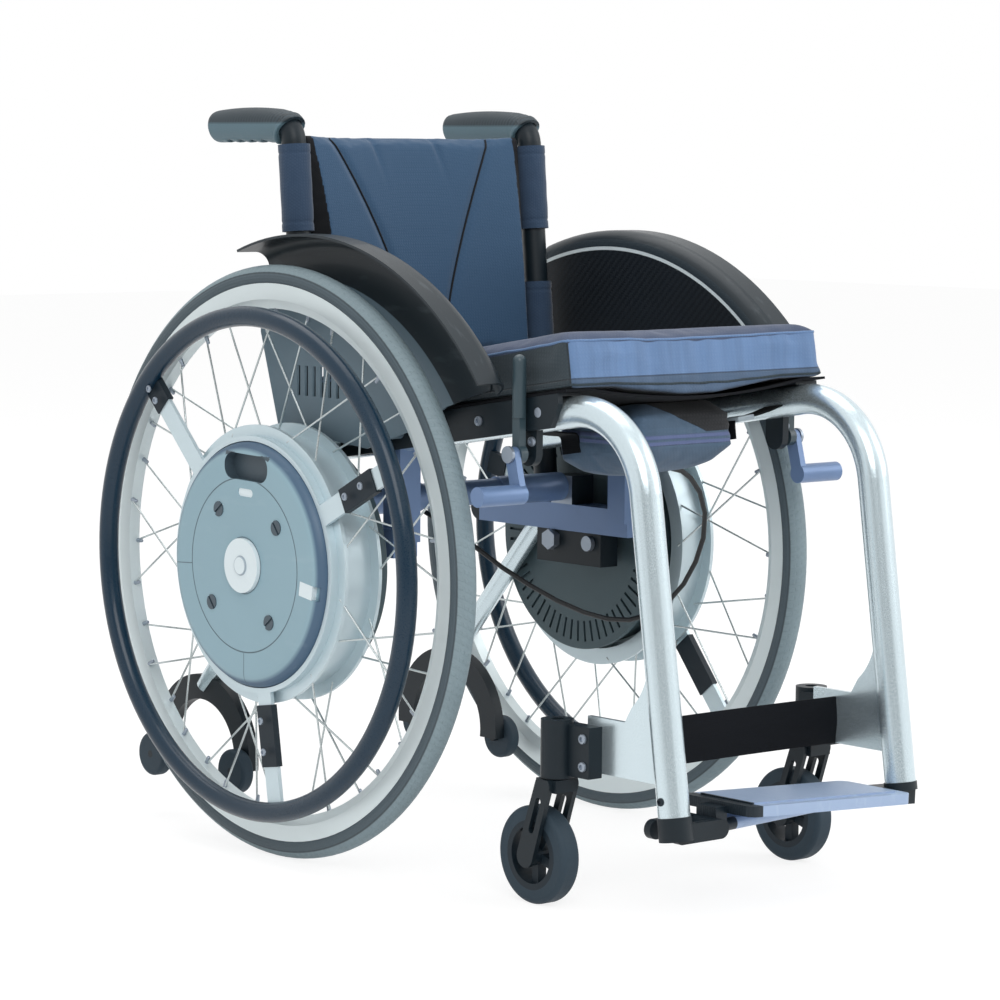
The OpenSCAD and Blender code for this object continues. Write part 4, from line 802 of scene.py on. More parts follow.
def make_finishes():
    """Makes each finish once and keeps it by the record's slot name, and by name for added pieces."""
    c = colours()
    FINISHES.update({
        "tyre_rubber": tyre_finish(),
        "silver_rim": turned_finish("Silver rim", c.rim, 0.34, 0.35, 900.0, 0.000012),
        "spoke_steel": hard_finish("Spoke wire", c.spoke, 0.28, metallic=0.85, scuff_share=0.05),
        "hub_alloy": turned_finish("Hub alloy", c.hub, 0.36, 0.45, 700.0, 0.000008),
        "case_grey": case_finish(),
        "case_dark": hard_finish("Lid screws and pocket shade", c.lid_screw, 0.45),
        "white_plastic": white_finish(),
        "push_coat": hard_finish("Push rim coat", c.push_rim, 0.3, coat=0.2, scuff_share=0.1,
                                 specular=0.3),
        "motor_dark": hard_finish("Motor casting", c.motor, 0.52, metallic=0.2, grain_depth=0.00012),
        "black_alloy": hard_finish("Black anodised metal", c.black_metal, 0.42, scuff_share=0.1,
                                   specular=0.3),
        "black_plastic": hard_finish("Black moulding", c.black_moulding, 0.5, grain_depth=0.0001,
                                     specular=0.3),
        "lever_rubber": hard_finish("Lever rubber", c.lever, 0.4, coat=0.1, grain_depth=0.00008),
        "caster_rubber": hard_finish("Caster rubber", c.caster, 0.62, cloud_share=0.12, scuff_share=0.2,
                                     grain_depth=0.00015, specular=0.3),
        "silver_frame": hard_finish("Silver frame paint", c.silver, 0.26, metallic=0.8, coat=0.25,
                                    cloud_share=0.02, scuff_share=0.02, grain_scale=2600.0,
                                    grain_depth=0.000003),
        "screw_steel": hard_finish("Screw steel", c.steel, 0.34, metallic=0.7),
        "slate_paint": hard_finish("Slate frame paint", c.slate, 0.4, metallic=0.3, coat=0.12),
        "footplate_paint": footplate_finish(),
        "navy_cloth": cloth_finish("Back cloth", c.back_cloth, 620.0),
        "cushion_cloth": cushion_finish(),
        "grip_rubber": grip_finish(),
        "black_webbing": cloth_finish("Webbing", c.webbing, 900.0, sheen=0.02, depth=0.00006, specular=0.15),
        "guard_carbon": carbon_finish(),
        "guard_shell": guard_finish(),
        "buckle_grey": hard_finish("Buckle moulding", c.buckle, 0.4),
        "cable_jacket": hard_finish("Cable jacket", c.cable, 0.46, grain_depth=0.00005),
        # Top piping in the front cloth all round: along the sides its lighter colour is a painted highlight.
        "piping_painted_highlight": cloth_finish("Piping painted highlight", c.front_cloth, 520.0, slub_share=0.04),
        "piping_dark": cloth_finish("Dark piping", c.side_cloth, 420.0, sheen=0.08, depth=0.00015),
        "sleeve_cloth": cloth_finish("Sleeve cloth", c.sleeve_cloth, 620.0),
        "pouch_cloth": pouch_finish(),
        "welt_thread": cloth_finish("Welt cloth", shade(c.webbing, 0.9)[:3], 900.0, sheen=0.05),
    })


def select_only(*objects):
    """Selects these objects and nothing else, with the first one active."""
    bpy.ops.object.select_all(action="DESELECT")
    for obj in objects:
        obj.select_set(True)
    bpy.context.view_layer.objects.active = objects[0]


def active_piece(name):
    """Names the object that an operator has just added."""
    obj = bpy.context.active_object
    obj.name = name
    obj.data.name = name
    return obj


def bake_place(obj):
    """Puts an object's place, turn and size into its mesh."""
    select_only(obj)
    bpy.ops.object.transform_apply(location=True, rotation=True, scale=True)


def apply_modifier(obj, kind, **settings):
    """Adds a modifier with its settings and applies it."""
    modifier = obj.modifiers.new(kind.lower(), kind)
    for name, value in settings.items():
        setattr(modifier, name, value)
    select_only(obj)
    bpy.ops.object.modifier_apply(modifier=modifier.name)


def select_faces(obj, test):
    """Selects the faces whose centre and normal pass a test, and leaves the object in edit mode."""
    select_only(obj)
    bpy.ops.object.mode_set(mode="EDIT")
    bpy.ops.mesh.select_mode(type="FACE")
    bpy.ops.mesh.select_all(action="DESELECT")
    bpy.ops.object.mode_set(mode="OBJECT")
    for face in obj.data.polygons:
        face.select = test(face.center, face.normal)
    bpy.ops.object.mode_set(mode="EDIT")


def dress(obj, finish, body, replaced=()):
    """Gives a finished piece its finish, body and slot, and hides the CAD nodes that it stands for."""
    if not obj.data.materials:
        obj.data.materials.append(FINISHES[finish])
    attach(obj, body)
    if replaced:
        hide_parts(*replaced)
    return obj


def smooth(obj, angle=0.7):
    """Smooth shading, with edges sharper than the angle left crisp."""
    select_only(obj)
    bpy.ops.object.shade_smooth_by_angle(angle=angle)


def node_copy(name, node):
    """A merged copy of a CAD node as a new object, to be shaped further."""
    mesh = frame["nodes"][node].data.copy()
    mesh.name = name
    mesh.materials.clear()
    obj = bpy.data.objects.new(name, mesh)
    bpy.context.scene.collection.objects.link(obj)
    select_only(obj)
    bpy.ops.object.mode_set(mode="EDIT")
    bpy.ops.mesh.select_all(action="SELECT")
    bpy.ops.mesh.remove_doubles(threshold=0.00001)
    bpy.ops.object.mode_set(mode="OBJECT")
    return obj


def puff(obj, voxel, pressure, cap):
    """Swells a closed cover by cloth simulation, each point by no more than its cap."""
    select_only(obj)
    obj.data.remesh_voxel_size = voxel
    bpy.ops.object.voxel_remesh()
    starts = [(v.co.copy(), v.normal.copy()) for v in obj.data.vertices]
    cloth = obj.modifiers.new("padding", "CLOTH")
    cloth.settings.quality = 4
    cloth.settings.use_pressure = True
    cloth.settings.uniform_pressure_force = pressure
    cloth.settings.effector_weights.gravity = 0.0
    cloth.point_cache.frame_start = 1
    cloth.point_cache.frame_end = 20
    scene = bpy.context.scene
    for step in range(1, 21):
        scene.frame_set(step)
    select_only(obj)
    bpy.ops.object.modifier_apply(modifier=cloth.name)
    scene.frame_set(1)
    for vertex, (start, normal) in zip(obj.data.vertices, starts):
        limit = cap(start, normal)
        move = vertex.co - start
        vertex.co = start + (move.normalized() * min(move.length, limit) if move.length else move)
    apply_modifier(obj, "SUBSURF", levels=1, render_levels=1)


def carve(obj, depth_at):
    """Moves each point inwards along its normal by a depth."""
    obj.data.update()
    moves = [(v.co.copy(), v.normal.copy()) for v in obj.data.vertices]
    for vertex, (place, normal) in zip(obj.data.vertices, moves):
        vertex.co = place - normal * depth_at(place, normal)
    obj.data.update()


def surface_tree(obj):
    """A search tree of an object's faces."""
    return BVHTree.FromPolygons([v.co for v in obj.data.vertices], [p.vertices for p in obj.data.polygons])


def on_surface(obj, points):
    """Carries points onto the nearest place of an object's surface."""
    tree = surface_tree(obj)
    return [tree.find_nearest(point)[0] for point in points]


def seen_from_front(obj, points, lift):
    """Carries points along +Y onto the front of an object's surface, and lifts them off it."""
    tree = surface_tree(obj)
    ahead = Vector((0.0, -1.0, 0.0))
    hits = [tree.ray_cast(point + ahead, -ahead)[0] for point in points]
    return [hit + ahead * lift for hit in hits if hit]


def round_line(name, points, radius, rounding, closed=False):
    """A round cord along a line of points, as a curve."""
    curve = bpy.data.curves.new(name, "CURVE")
    curve.dimensions = "3D"
    curve.bevel_depth = radius
    curve.bevel_resolution = rounding
    curve.use_fill_caps = not closed
    line = curve.splines.new("POLY")
    line.points.add(len(points) - 1)
    for spot, place in zip(line.points, points):
        spot.co = (*place, 1.0)
    line.use_cyclic_u = closed
    obj = bpy.data.objects.new(name, curve)
    bpy.context.scene.collection.objects.link(obj)
    return obj


def sewn_tube(name, points, radius, closed=False):
    """A round welt or piping along a line of points, as a mesh."""
    select_only(round_line(name, points, radius, 2, closed))
    bpy.ops.object.convert(target="MESH")
    obj = active_piece(name)
    smooth(obj, 1.2)
    return obj


def joined(name, objects):
    """Joins several finished meshes into one piece."""
    select_only(*objects)
    bpy.ops.object.join()
    return active_piece(name)


def copies(name, master, places):
    """Copies a master mesh to each place, joins the copies and removes the master."""
    made = []
    for place in places:
        mesh = master.data.copy()
        mesh.transform(place)
        obj = bpy.data.objects.new(name, mesh)
        bpy.context.scene.collection.objects.link(obj)
        made.append(obj)
    bpy.data.objects.remove(master)
    return joined(name, made)


def facing(place, direction):
    """A matrix that stands a piece made along +Z on a place, along a direction."""
    turn = Vector((0.0, 0.0, 1.0)).rotation_difference(Vector(direction).normalized())
    return Matrix.Translation(place) @ turn.to_matrix().to_4x4()


def socket_screw(radius, height):
    """A button headed screw with a socket, standing on the origin along +Z."""
    bpy.ops.object.select_all(action="DESELECT")
    bpy.ops.mesh.primitive_cylinder_add(vertices=18, radius=radius, depth=height,
                                        location=(0.0, 0.0, height / 2))
    screw = active_piece("screw master")
    bake_place(screw)
    select_faces(screw, lambda centre, normal: normal.z > 0.9)
    bpy.ops.mesh.bevel(offset=min(radius * 0.3, height * 0.7), segments=2)
    bpy.ops.object.mode_set(mode="OBJECT")
    select_faces(screw, lambda centre, normal: normal.z > 0.98)
    bpy.ops.mesh.inset(thickness=radius * 0.22)
    bpy.ops.mesh.extrude_region_move(TRANSFORM_OT_translate={"value": (0.0, 0.0, -height * 0.6)})
    bpy.ops.object.mode_set(mode="OBJECT")
    smooth(screw)
    return screw


class CHAIR_OT_stage(bpy.types.Operator):
    """Sets up the camera at the photo's place, soft studio light and a pale floor"""

    bl_idname = "chair.stage"
    bl_label = "Stage"

    # Where the lamps look, the world's level as light and on the camera's side in reflections, and the
    # floor's own glow
    aim_height = 0.35
    light_level = 0.54
    dark_level = 0.35
    glow_share = 0.72
    glow_colour = (1.15, 1.15, 1.15, 1.0)

    def execute(self, context):
        self.add_camera(context)
        self.add_light("Key light", (-2.6, -3.4, 3.2), 3.0, 108.0)
        self.add_light("Fill light", (3.0, -2.6, 2.4), 3.0, 62.0)
        self.add_light("Top light", (0.2, 1.0, 4.2), 3.5, 70.0)
        self.add_world(context)
        self.add_floor()
        context.scene.view_settings.view_transform = "Standard"
        return {"FINISHED"}

    def add_camera(self, context):
        """Places the camera that the photo was taken with."""
        back = towards_camera()
        level_right = (-back).cross(Vector((0.0, 0.0, 1.0))).normalized()
        level_up = level_right.cross(-back)
        right = math.cos(CAMERA_ROLL) * level_right + math.sin(CAMERA_ROLL) * level_up
        up = math.cos(CAMERA_ROLL) * level_up - math.sin(CAMERA_ROLL) * level_right
        bpy.ops.object.camera_add()
        camera = context.active_object
        camera.name = "Photo camera"
        turn = Matrix((right, up, back)).transposed()
        camera.matrix_world = Matrix.Translation(CAMERA_PLACE) @ turn.to_4x4()
        camera.data.lens = camera.data.sensor_width * CAMERA_LENS_SHARE
        context.scene.camera = camera

    def add_light(self, name, place, size, power):
        """Adds a large soft lamp that looks at the chair."""
        aim = Vector((0.0, 0.0, self.aim_height)) - Vector(place)
        turn = aim.to_track_quat("-Z", "Y").to_euler()
        bpy.ops.object.light_add(type="AREA", location=place, rotation=turn)
        lamp = bpy.context.active_object
        lamp.name = name
        lamp.data.size = size
        lamp.data.energy = power

    def add_world(self, context):
        """White to the camera, a softer level as light, and darker on the camera's side in reflections."""
        world = bpy.data.worlds.new("Studio")
        context.scene.world = world
        world.use_nodes = True
        board = NodeBoard(world.node_tree)
        rays = board.add("ShaderNodeLightPath").outputs
        outlook = board.add("ShaderNodeTexCoord").outputs["Generated"]
        ahead = board.add("ShaderNodeVectorMath", {0: outlook, 1: towards_camera()}, operation="DOT_PRODUCT")
        mirrored = board.remap(ahead.outputs["Value"], 0.70, 0.92, 1.0, self.dark_level)
        change = board.times(rays["Is Glossy Ray"], board.minus(mirrored, self.light_level))
        level = board.calc("MAXIMUM", rays["Is Camera Ray"], board.plus(change, self.light_level))
        sky = board.add("ShaderNodeBackground", {"Color": (1.0, 1.0, 1.0, 1.0), "Strength": level})
        output = board.add("ShaderNodeOutputWorld")
        board.fill(output.inputs["Surface"], sky.outputs[0])

    def add_floor(self):
        """A white floor that keeps the chair's shadow, darker on the camera's side in reflections."""
        bpy.ops.object.select_all(action="DESELECT")
        bpy.ops.mesh.primitive_plane_add(size=2 * sizes().floor_reach)
        floor = active_piece("Studio floor")
        material, board, place, shader = new_finish("Studio floor")
        mottle = board.tone(board.noise(place, 3.0), (1.0, 1.0, 1.0), 0.90, 0.92)
        board.fill(shader.inputs["Base Color"], mottle)
        shader.inputs["Roughness"].default_value = 0.9
        rays = board.add("ShaderNodeLightPath").outputs
        ahead = board.add("ShaderNodeVectorMath", {0: place, 1: towards_camera()}, operation="DOT_PRODUCT")
        mirrored = board.remap(ahead.outputs["Value"], 1.2, 2.4, 1.0, self.dark_level)
        strength = board.calc("MAXIMUM", rays["Is Camera Ray"], mirrored)
        glow = board.add("ShaderNodeEmission", {"Color": self.glow_colour, "Strength": strength})
        seen = board.calc("MAXIMUM", rays["Is Camera Ray"], rays["Is Glossy Ray"])
        blend = board.add("ShaderNodeMixShader", {0: board.times(seen, self.glow_share)})
        board.fill(blend.inputs[1], shader.outputs[0])
        board.fill(blend.inputs[2], glow.outputs[0])
        output = [n for n in material.node_tree.nodes if n.type == "OUTPUT_MATERIAL"][0]
        board.fill(output.inputs["Surface"], blend.outputs[0])
        floor.data.materials.append(material)


class CHAIR_OT_control_cable(bpy.types.Operator):
    """Lays the control cable from the cross tube to the pouch"""

    bl_idname = "chair.control_cable"
    bl_label = "Control Cable"

    def execute(self, context):
        cable = round_line("control_cable_jacket", CABLE_ROUTE, sizes().cable_d / 2, 4)
        dress(cable, "cable_jacket", "frame", ("control_cable",))
        return {"FINISHED"}


class CHAIR_OT_finishes(bpy.types.Operator):
    """Gives every CAD node its finish, and a second finish where a node has two or where a recess gets
    painted shade
    """

    bl_idname = "chair.finishes"
    bl_label = "Finishes"

    def execute(self, context):
        for part in frame["record"]["subparts"]:
            mesh = frame["nodes"][part["node"]].data
            mesh.materials.clear()
            mesh.materials.append(FINISHES[part["material_slot"]])
        frame["nodes"]["footplate"].data.materials[0] = FINISHES["footplate_paint"]
        for side in SIDES:
            frame["nodes"]["brake_lever_" + side].data.materials[0] = FINISHES["lever_rubber"]
            self.paint("rim_arms_" + side, "black_plastic", self.arm_sleeve_test(side))
            self.paint("motor_plate_" + side, "screw_steel",
                       lambda centre, normal: abs(centre.x) < AXLE_NUT_X)
            # The grip pockets take the dark lid screw finish: painted shade in the recess.
            self.paint("battery_case_" + side, "case_dark", self.pocket_shade_test)
            self.paint("battery_lid_" + side, "white_plastic", self.inlay_test)
        self.paint("side_guards", "guard_shell", self.guard_outside_test)
        self.paint("axle_blocks", "screw_steel",
                   lambda centre, normal: abs(centre.x) < BLOCK_FACE_X - 0.0002)
        self.paint("axle_beams", "black_plastic", lambda centre, normal: centre.y > BEAM_CAP_Y)
        self.paint("anti_tip_arms", "silver_frame", self.tip_tube_test)
        self.paint("brake_brackets", "screw_steel", lambda centre, normal: abs(centre.x) > BRAKE_PIN_X)
        return {"FINISHED"}

    def paint(self, node, finish, test):
        """Gives the faces of a node that pass a test a second finish."""
        mesh = frame["nodes"][node].data
        mesh.materials.append(FINISHES[finish])
        index = len(mesh.materials) - 1
        for face in mesh.polygons:
            if test(face.center, face.normal):
                face.material_index = index

    def arm_sleeve_test(self, side):
        """A test for the black sleeves on a carrier's arms."""
        def test(centre, normal):
            ahead = AXLE_Y - centre.y
            above = centre.z - AXLE_Z
            radius = math.hypot(ahead, above)
            share = (radius - ARM_START_R) / (PUSH_MID_R - ARM_START_R)
            angle = math.degrees(math.atan2(above, ahead)) % 360
            for arm, (start, end) in zip(ARM_ANGLES[side], ARM_SLEEVE_SHARES):
                apart = abs((angle - arm + 180) % 360 - 180)
                if apart < 12 and start - 0.01 < share < end + 0.01:
                    return True
            return False
        return test

    def guard_outside_test(self, centre, normal):
        """A test for all of a side guard but the flat inside."""
        return normal.x * centre.x > -0.9 * abs(centre.x)

    def pocket_shade_test(self, centre, normal):
        """A test for the walls and floor of a battery case's grip pocket, which get the dark screw finish as
        painted shade.
        """
        ahead = AXLE_Y - centre.y
        above = centre.z - AXLE_Z
        out = ahead * math.cos(POCKET_ANGLE) + above * math.sin(POCKET_ANGLE)
        across = above * math.cos(POCKET_ANGLE) - ahead * math.sin(POCKET_ANGLE)
        edge = 0.0005
        depth = CASE_FACE_X - abs(centre.x)
        return (edge < depth < POCKET_DEPTH + edge and abs(across) < POCKET_HALF_W + edge
                and abs(out - POCKET_MID_R) < POCKET_HALF_H + edge)

    def inlay_test(self, centre, normal):
        """A test for the floor of the shallow recess in a battery lid."""
        edge = 0.0001
        return edge < CASE_FACE_X - abs(centre.x) < PILL_DEPTH + edge and abs(normal.x) > 0.9

    def tip_tube_test(self, centre, normal):
        """A test for the straight tubes of the anti-tippers."""
        reach = math.hypot(centre.y - TIP_ARCH_Y, centre.z - TIP_ARCH_Z)
        return reach > TIP_ARCH_REACH and centre.y < TIP_ARCH_Y


class CHAIR_OT_seat_cushion(bpy.types.Operator):
    """Makes the seat cushion: a swollen cover with soft folds, and its piping"""

    bl_idname = "chair.seat_cushion"
    bl_label = "Seat Cushion"

    corner = 0.009
    piping_step = 0.012
    piping_inset = 0.001
    fold_depth = 0.0018
    slack_depth = 0.0012

    def execute(self, context):
        cushion = node_copy("seat_cushion_cover", "seat_cushion")
        swell = sizes().cushion_swell

        def cap(place, normal):
            facing_down = max(0.0, -normal.dot(SEAT_UP))
            return swell * max(0.0, 1.0 - 1.6 * facing_down)

        puff(cushion, sizes().cushion_voxel, 4.0, cap)
        carve(cushion, self.folds)
        smooth(cushion, 1.2)
        dress(cushion, "cushion_cloth", "frame", ("seat_cushion",))
        self.add_piping(cushion)
        return {"FINISHED"}

    def folds(self, place, normal):
        """Soft upright folds in the front panel and slack waves on the top."""
        x, along, height = seat_place(place)
        ahead = max(0.0, -normal.dot(SEAT_BACK))
        above = max(0.0, normal.dot(SEAT_UP))
        upright = noise.noise(Vector((x * 55.0, height * 9.0, 3.0)))
        slack = noise.noise(Vector((x * 9.0, along * 7.0, 8.0)))
        return self.fold_depth * ahead * upright + self.slack_depth * above * slack

    def outline(self, height, inset):
        """Points round the cushion at a height, with rounded corners."""
        half_l = CUSHION_DEPTH / 2 - inset - self.corner
        half_w = CUSHION_HALF_W - inset - self.corner
        points = []
        for quarter, (sx, sy) in enumerate(((1, 1), (-1, 1), (-1, -1), (1, -1))):
            for step in range(7):
                angle = math.pi / 2 * (quarter + step / 6)
                points.append(Vector((sx * half_w + self.corner * math.cos(angle),
                                      sy * half_l + self.corner * math.sin(angle))))
        filled = []
        for here, there in zip(points, points[1:] + points[:1]):
            steps = max(1, int((there - here).length / self.piping_step))
            filled += [here.lerp(there, k / steps) for k in range(steps)]
        middle = CUSHION_FRONT + CUSHION_DEPTH / 2
        return [seat_point(x, middle + y, height) for x, y in filled]

    def add_piping(self, cushion):
        """Fine piping round the top edge in the front cloth's colour, which along the sides is a painted
        highlight, and dark piping round the base, which at the front is part of the painted shade below the
        seam.
        """
        for name, finish, height in (("top", "piping_painted_highlight", CUSHION_LIFT + CUSHION_H - 0.002),
                                     ("base", "piping_dark", CUSHION_LIFT + 0.001)):
            line = on_surface(cushion, self.outline(height, self.piping_inset))
            piping = sewn_tube("cushion_piping_" + name, line, sizes().piping_r, True)
            dress(piping, finish, "frame")


class CHAIR_OT_backrest(bpy.types.Operator):
    """Makes the back upholstery with its two curved seams and the tucks at its top"""

    bl_idname = "chair.backrest"
    bl_label = "Back Upholstery"

    seam_top_x = 0.106
    seam_low_x = 0.028
    seam_low_z = 0.532
    tuck_places = (-0.048, 0.034)
    tuck_depth = 0.0026
    tuck_half_w = 0.004
    tuck_len = 0.028
    slack = 0.0009

    def execute(self, context):
        back = node_copy("backrest_cover", "backrest")
        swell = sizes().back_swell

        def cap(place, normal):
            middle = 1.0 - min(1.0, abs(place.x) / self.half_w(place.z)) ** 4
            return swell * middle * (1.0 if normal.y < 0.0 else 0.5)

        puff(back, sizes().back_voxel, 4.0, cap)
        carve(back, self.seams)
        for finish in ("navy_cloth", "welt_thread"):
            back.data.materials.append(FINISHES[finish])
        for face in back.data.polygons:
            face.material_index = 1 if abs(face.center.x) > self.half_w(face.center.z) + 0.0005 else 0
        smooth(back, 1.2)
        dress(back, "navy_cloth", "frame", ("backrest",))
        self.add_welts(back)
        return {"FINISHED"}

    def half_w(self, z):
        """Half the width of the front panel at height z, between its two wings."""
        bow = max(0.0, 1.0 - (BACK_HIGH_Z - z) / BACK_CURVE_H) ** 2
        return BACK_LOW_HALF_W + BACK_FLARE * bow

    def seam_x(self, z):
        """How far a seam is from the middle at height z."""
        share = min(1.0, (BACK_HIGH_Z - z) / (BACK_HIGH_Z - self.seam_low_z))
        return self.seam_top_x + (self.seam_low_x - self.seam_top_x) * (1.0 - (1.0 - share) ** 1.35)

    def seams(self, place, normal):
        """Depth of the sewn seams, the tucks and the slack of the cloth."""
        ahead = max(0.0, -normal.y)
        off = abs(abs(place.x) - self.seam_x(place.z))
        seam = sizes().seam_depth * math.exp(-(off / sizes().seam_half_w) ** 2)
        below = BACK_HIGH_Z - place.z
        tuck = 0.0
        for centre in self.tuck_places:
            off = abs(place.x - centre - 0.2 * below) / self.tuck_half_w
            tuck += self.tuck_depth * math.exp(-off ** 2) * math.exp(-(below / self.tuck_len) ** 2)
        slack = self.slack * noise.noise(Vector((place.x * 16.0, 0.0, place.z * 7.0)))
        return ahead * (seam + tuck + slack)

    def add_welts(self, back):
        """A dark sewn welt in each seam."""
        made = []
        top = BACK_HIGH_Z - 0.003
        run = top - BACK_LOW_Z - 0.008
        for sign in SIDES.values():
            heights = [top - k * run / 60 for k in range(61)]
            line = [Vector((sign * self.seam_x(z), 0.0, z)) for z in heights]
            made.append(sewn_tube("welt", seen_from_front(back, line, 0.0002), sizes().welt_r))
        dress(joined("backrest_welts", made), "welt_thread", "frame")


class CHAIR_OT_post_sleeves(bpy.types.Operator):
    """Makes the cloth sleeves round the back posts, with hems at both ends"""

    bl_idname = "chair.post_sleeves"
    bl_label = "Post Sleeves"

    wall = 0.0022
    hem_depth = 0.0006
    hem_place = 0.009
    hem_half_w = 0.0012
    wave = 0.0004

    def execute(self, context):
        made = []
        for sign in SIDES.values():
            for low_z, high_z in SLEEVE_SPANS:
                low = post_point(sign * POST_X, low_z)
                high = post_point(sign * POST_X, high_z)
                made.append(self.sleeve(low, high))
        sleeves = joined("post_sleeve_covers", made)
        dress(sleeves, "sleeve_cloth", "frame", ("post_sleeves",))
        return {"FINISHED"}

    def sleeve(self, low, high):
        """One sleeve: a tube with waves, hems and a wall."""
        run = high - low
        bpy.ops.object.select_all(action="DESELECT")
        bpy.ops.mesh.primitive_cylinder_add(vertices=72, radius=SLEEVE_R - 0.0003, depth=run.length,
                                            end_fill_type="NOTHING", location=(0.0, 0.0, run.length / 2))
        sleeve = active_piece("sleeve")
        bake_place(sleeve)
        bpy.ops.object.mode_set(mode="EDIT")
        bpy.ops.mesh.select_mode(type="EDGE")
        bpy.ops.mesh.select_all(action="DESELECT")
        bpy.ops.object.mode_set(mode="OBJECT")
        for edge in sleeve.data.edges:
            first, last = (sleeve.data.vertices[i].co.z for i in edge.vertices)
            edge.select = abs(first - last) > run.length / 2
        bpy.ops.object.mode_set(mode="EDIT")
        bpy.ops.mesh.subdivide(number_cuts=59)
        bpy.ops.object.mode_set(mode="OBJECT")
        for vertex in sleeve.data.vertices:
            end = min(vertex.co.z, run.length - vertex.co.z)
            hem = self.hem_depth * math.exp(-((end - self.hem_place) / self.hem_half_w) ** 2)
            wave = self.wave * noise.noise(vertex.co * 60.0)
            outward = Vector((vertex.co.x, vertex.co.y, 0.0)).normalized()
            vertex.co -= outward * (hem - wave)
        apply_modifier(sleeve, "SOLIDIFY", thickness=self.wall, offset=-1.0)
        sleeve.data.transform(facing(low, run))
        smooth(sleeve, 1.0)
        return sleeve


class CHAIR_OT_push_grips(bpy.types.Operator):
    """Makes the push grips: an arched top with slant ribs, and ridges between the finger hollows below"""

    bl_idname = "chair.push_grips"
    bl_label = "Push Grips"

    # The mesh size, the bore's wall that stays, and how far the top, ribs and ridges move the surface
    voxel = 0.0011
    inner_r = POST_R + 0.0015
    end_drop = 0.0015
    middle_rise = 0.0020
    rib = 0.0005
    knuckle = 0.0028
    lead_in = 0.018

    def execute(self, context):
        grips = node_copy("push_grip_covers", "push_grips")
        select_only(grips)
        grips.data.remesh_voxel_size = self.voxel
        bpy.ops.object.voxel_remesh()
        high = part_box("push_grips")[1]
        start = post_point(POST_X, HANDLE_Z).y

        def depth(place, normal):
            radius = math.hypot(abs(place.x) - POST_X, place.z - HANDLE_Z)
            if place.y < start or radius <= self.inner_r:
                return 0.0
            share = (place.y - start) / (high.y - start)
            above = max(0.0, normal.z) if place.z > HANDLE_Z else 0.0
            ends = (2.0 * share - 1.0) ** 2
            ribs = 0.5 + 0.5 * math.sin(GRIP_RIBS_Y * place.y + GRIP_RIBS_X * place.x)
            top = above * (self.end_drop * ends - self.middle_rise * (1.0 - ends) + self.rib * ribs)
            below = max(0.0, (HANDLE_Z - place.z) / radius)
            ridge = max(0.0, 1.0 - (GRIP_R - radius) / NOTCH_DEPTH)
            lead = min(1.0, (place.y - start) / self.lead_in)
            return top - self.knuckle * lead * below * below * ridge

        carve(grips, depth)
        smooth(grips, 1.2)
        dress(grips, "grip_rubber", "frame", ("push_grips",))
        return {"FINISHED"}


class CHAIR_OT_seat_sling(bpy.types.Operator):
    """Makes the seat sling, stretched over the rails and sagging between them"""

    bl_idname = "chair.seat_sling"
    bl_label = "Seat Sling"

    def execute(self, context):
        bpy.ops.object.select_all(action="DESELECT")
        bpy.ops.mesh.primitive_grid_add(x_subdivisions=48, y_subdivisions=40, size=1.0)
        sling = active_piece("seat_sling_cloth")
        for vertex in sling.data.vertices:
            x = 2 * SLING_HALF_W * vertex.co.x
            along = SLING_FRONT + SLING_LEN * (vertex.co.y + 0.5)
            vertex.co = seat_point(x, along, SLING_H + 0.0002 - self.sag(x))
        apply_modifier(sling, "SOLIDIFY", thickness=sizes().sling_t, offset=1.0)
        smooth(sling, 0.8)
        steps = [2 * SLING_HALF_W * (k / 48 - 0.5) for k in range(49)]
        width = sum(math.hypot(b - a, self.sag(b) - self.sag(a)) for a, b in zip(steps, steps[1:]))
        dress(sling, "black_webbing", "frame", ("seat_sling",))
        return {"FINISHED"}

    def sag(self, x):
        """How far the sling hangs below the rails' tops."""
        share = min(1.0, abs(x) / SLING_FREE_W)
        return SLING_SAG * (1.0 - share ** 2)


class CHAIR_OT_seat_pouch(bpy.types.Operator):
    """Makes the pouch under the seat, with its pleated band"""

    bl_idname = "chair.seat_pouch"
    bl_label = "Seat Pouch"

    # Mesh size, where the pleated band starts as a share of the height, and the depths of pleats and slack
    voxel = 0.004
    band_start = 0.42
    pleat = 0.0016
    slack = 0.0014

    def execute(self, context):
        pouch = node_copy("seat_pouch_bag", "seat_pouch")
        swell = sizes().pouch_swell
        low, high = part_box("seat_pouch")

        def cap(place, normal):
            return swell * max(0.0, 1.0 - 1.5 * max(0.0, normal.dot(SEAT_UP)))

        puff(pouch, self.voxel, 4.0, cap)

        def pleats(place, normal):
            share = (place.z - low.z) / (high.z - low.z)
            past = share - self.band_start
            band = min(1.0, max(0.0, past / 0.1)) * (1.0 - max(0.0, normal.z))
            turns = counts().pouch_pleats * past / (1.0 - self.band_start)
            wave = 0.5 + 0.5 * math.sin(2 * math.pi * turns)
            slack = noise.noise(place * 26.0)
            return self.pleat * band * wave + self.slack * slack * (1.0 - band)

        carve(pouch, pleats)
        smooth(pouch, 1.2)
        dress(pouch, "pouch_cloth", "frame", ("seat_pouch",))
        return {"FINISHED"}


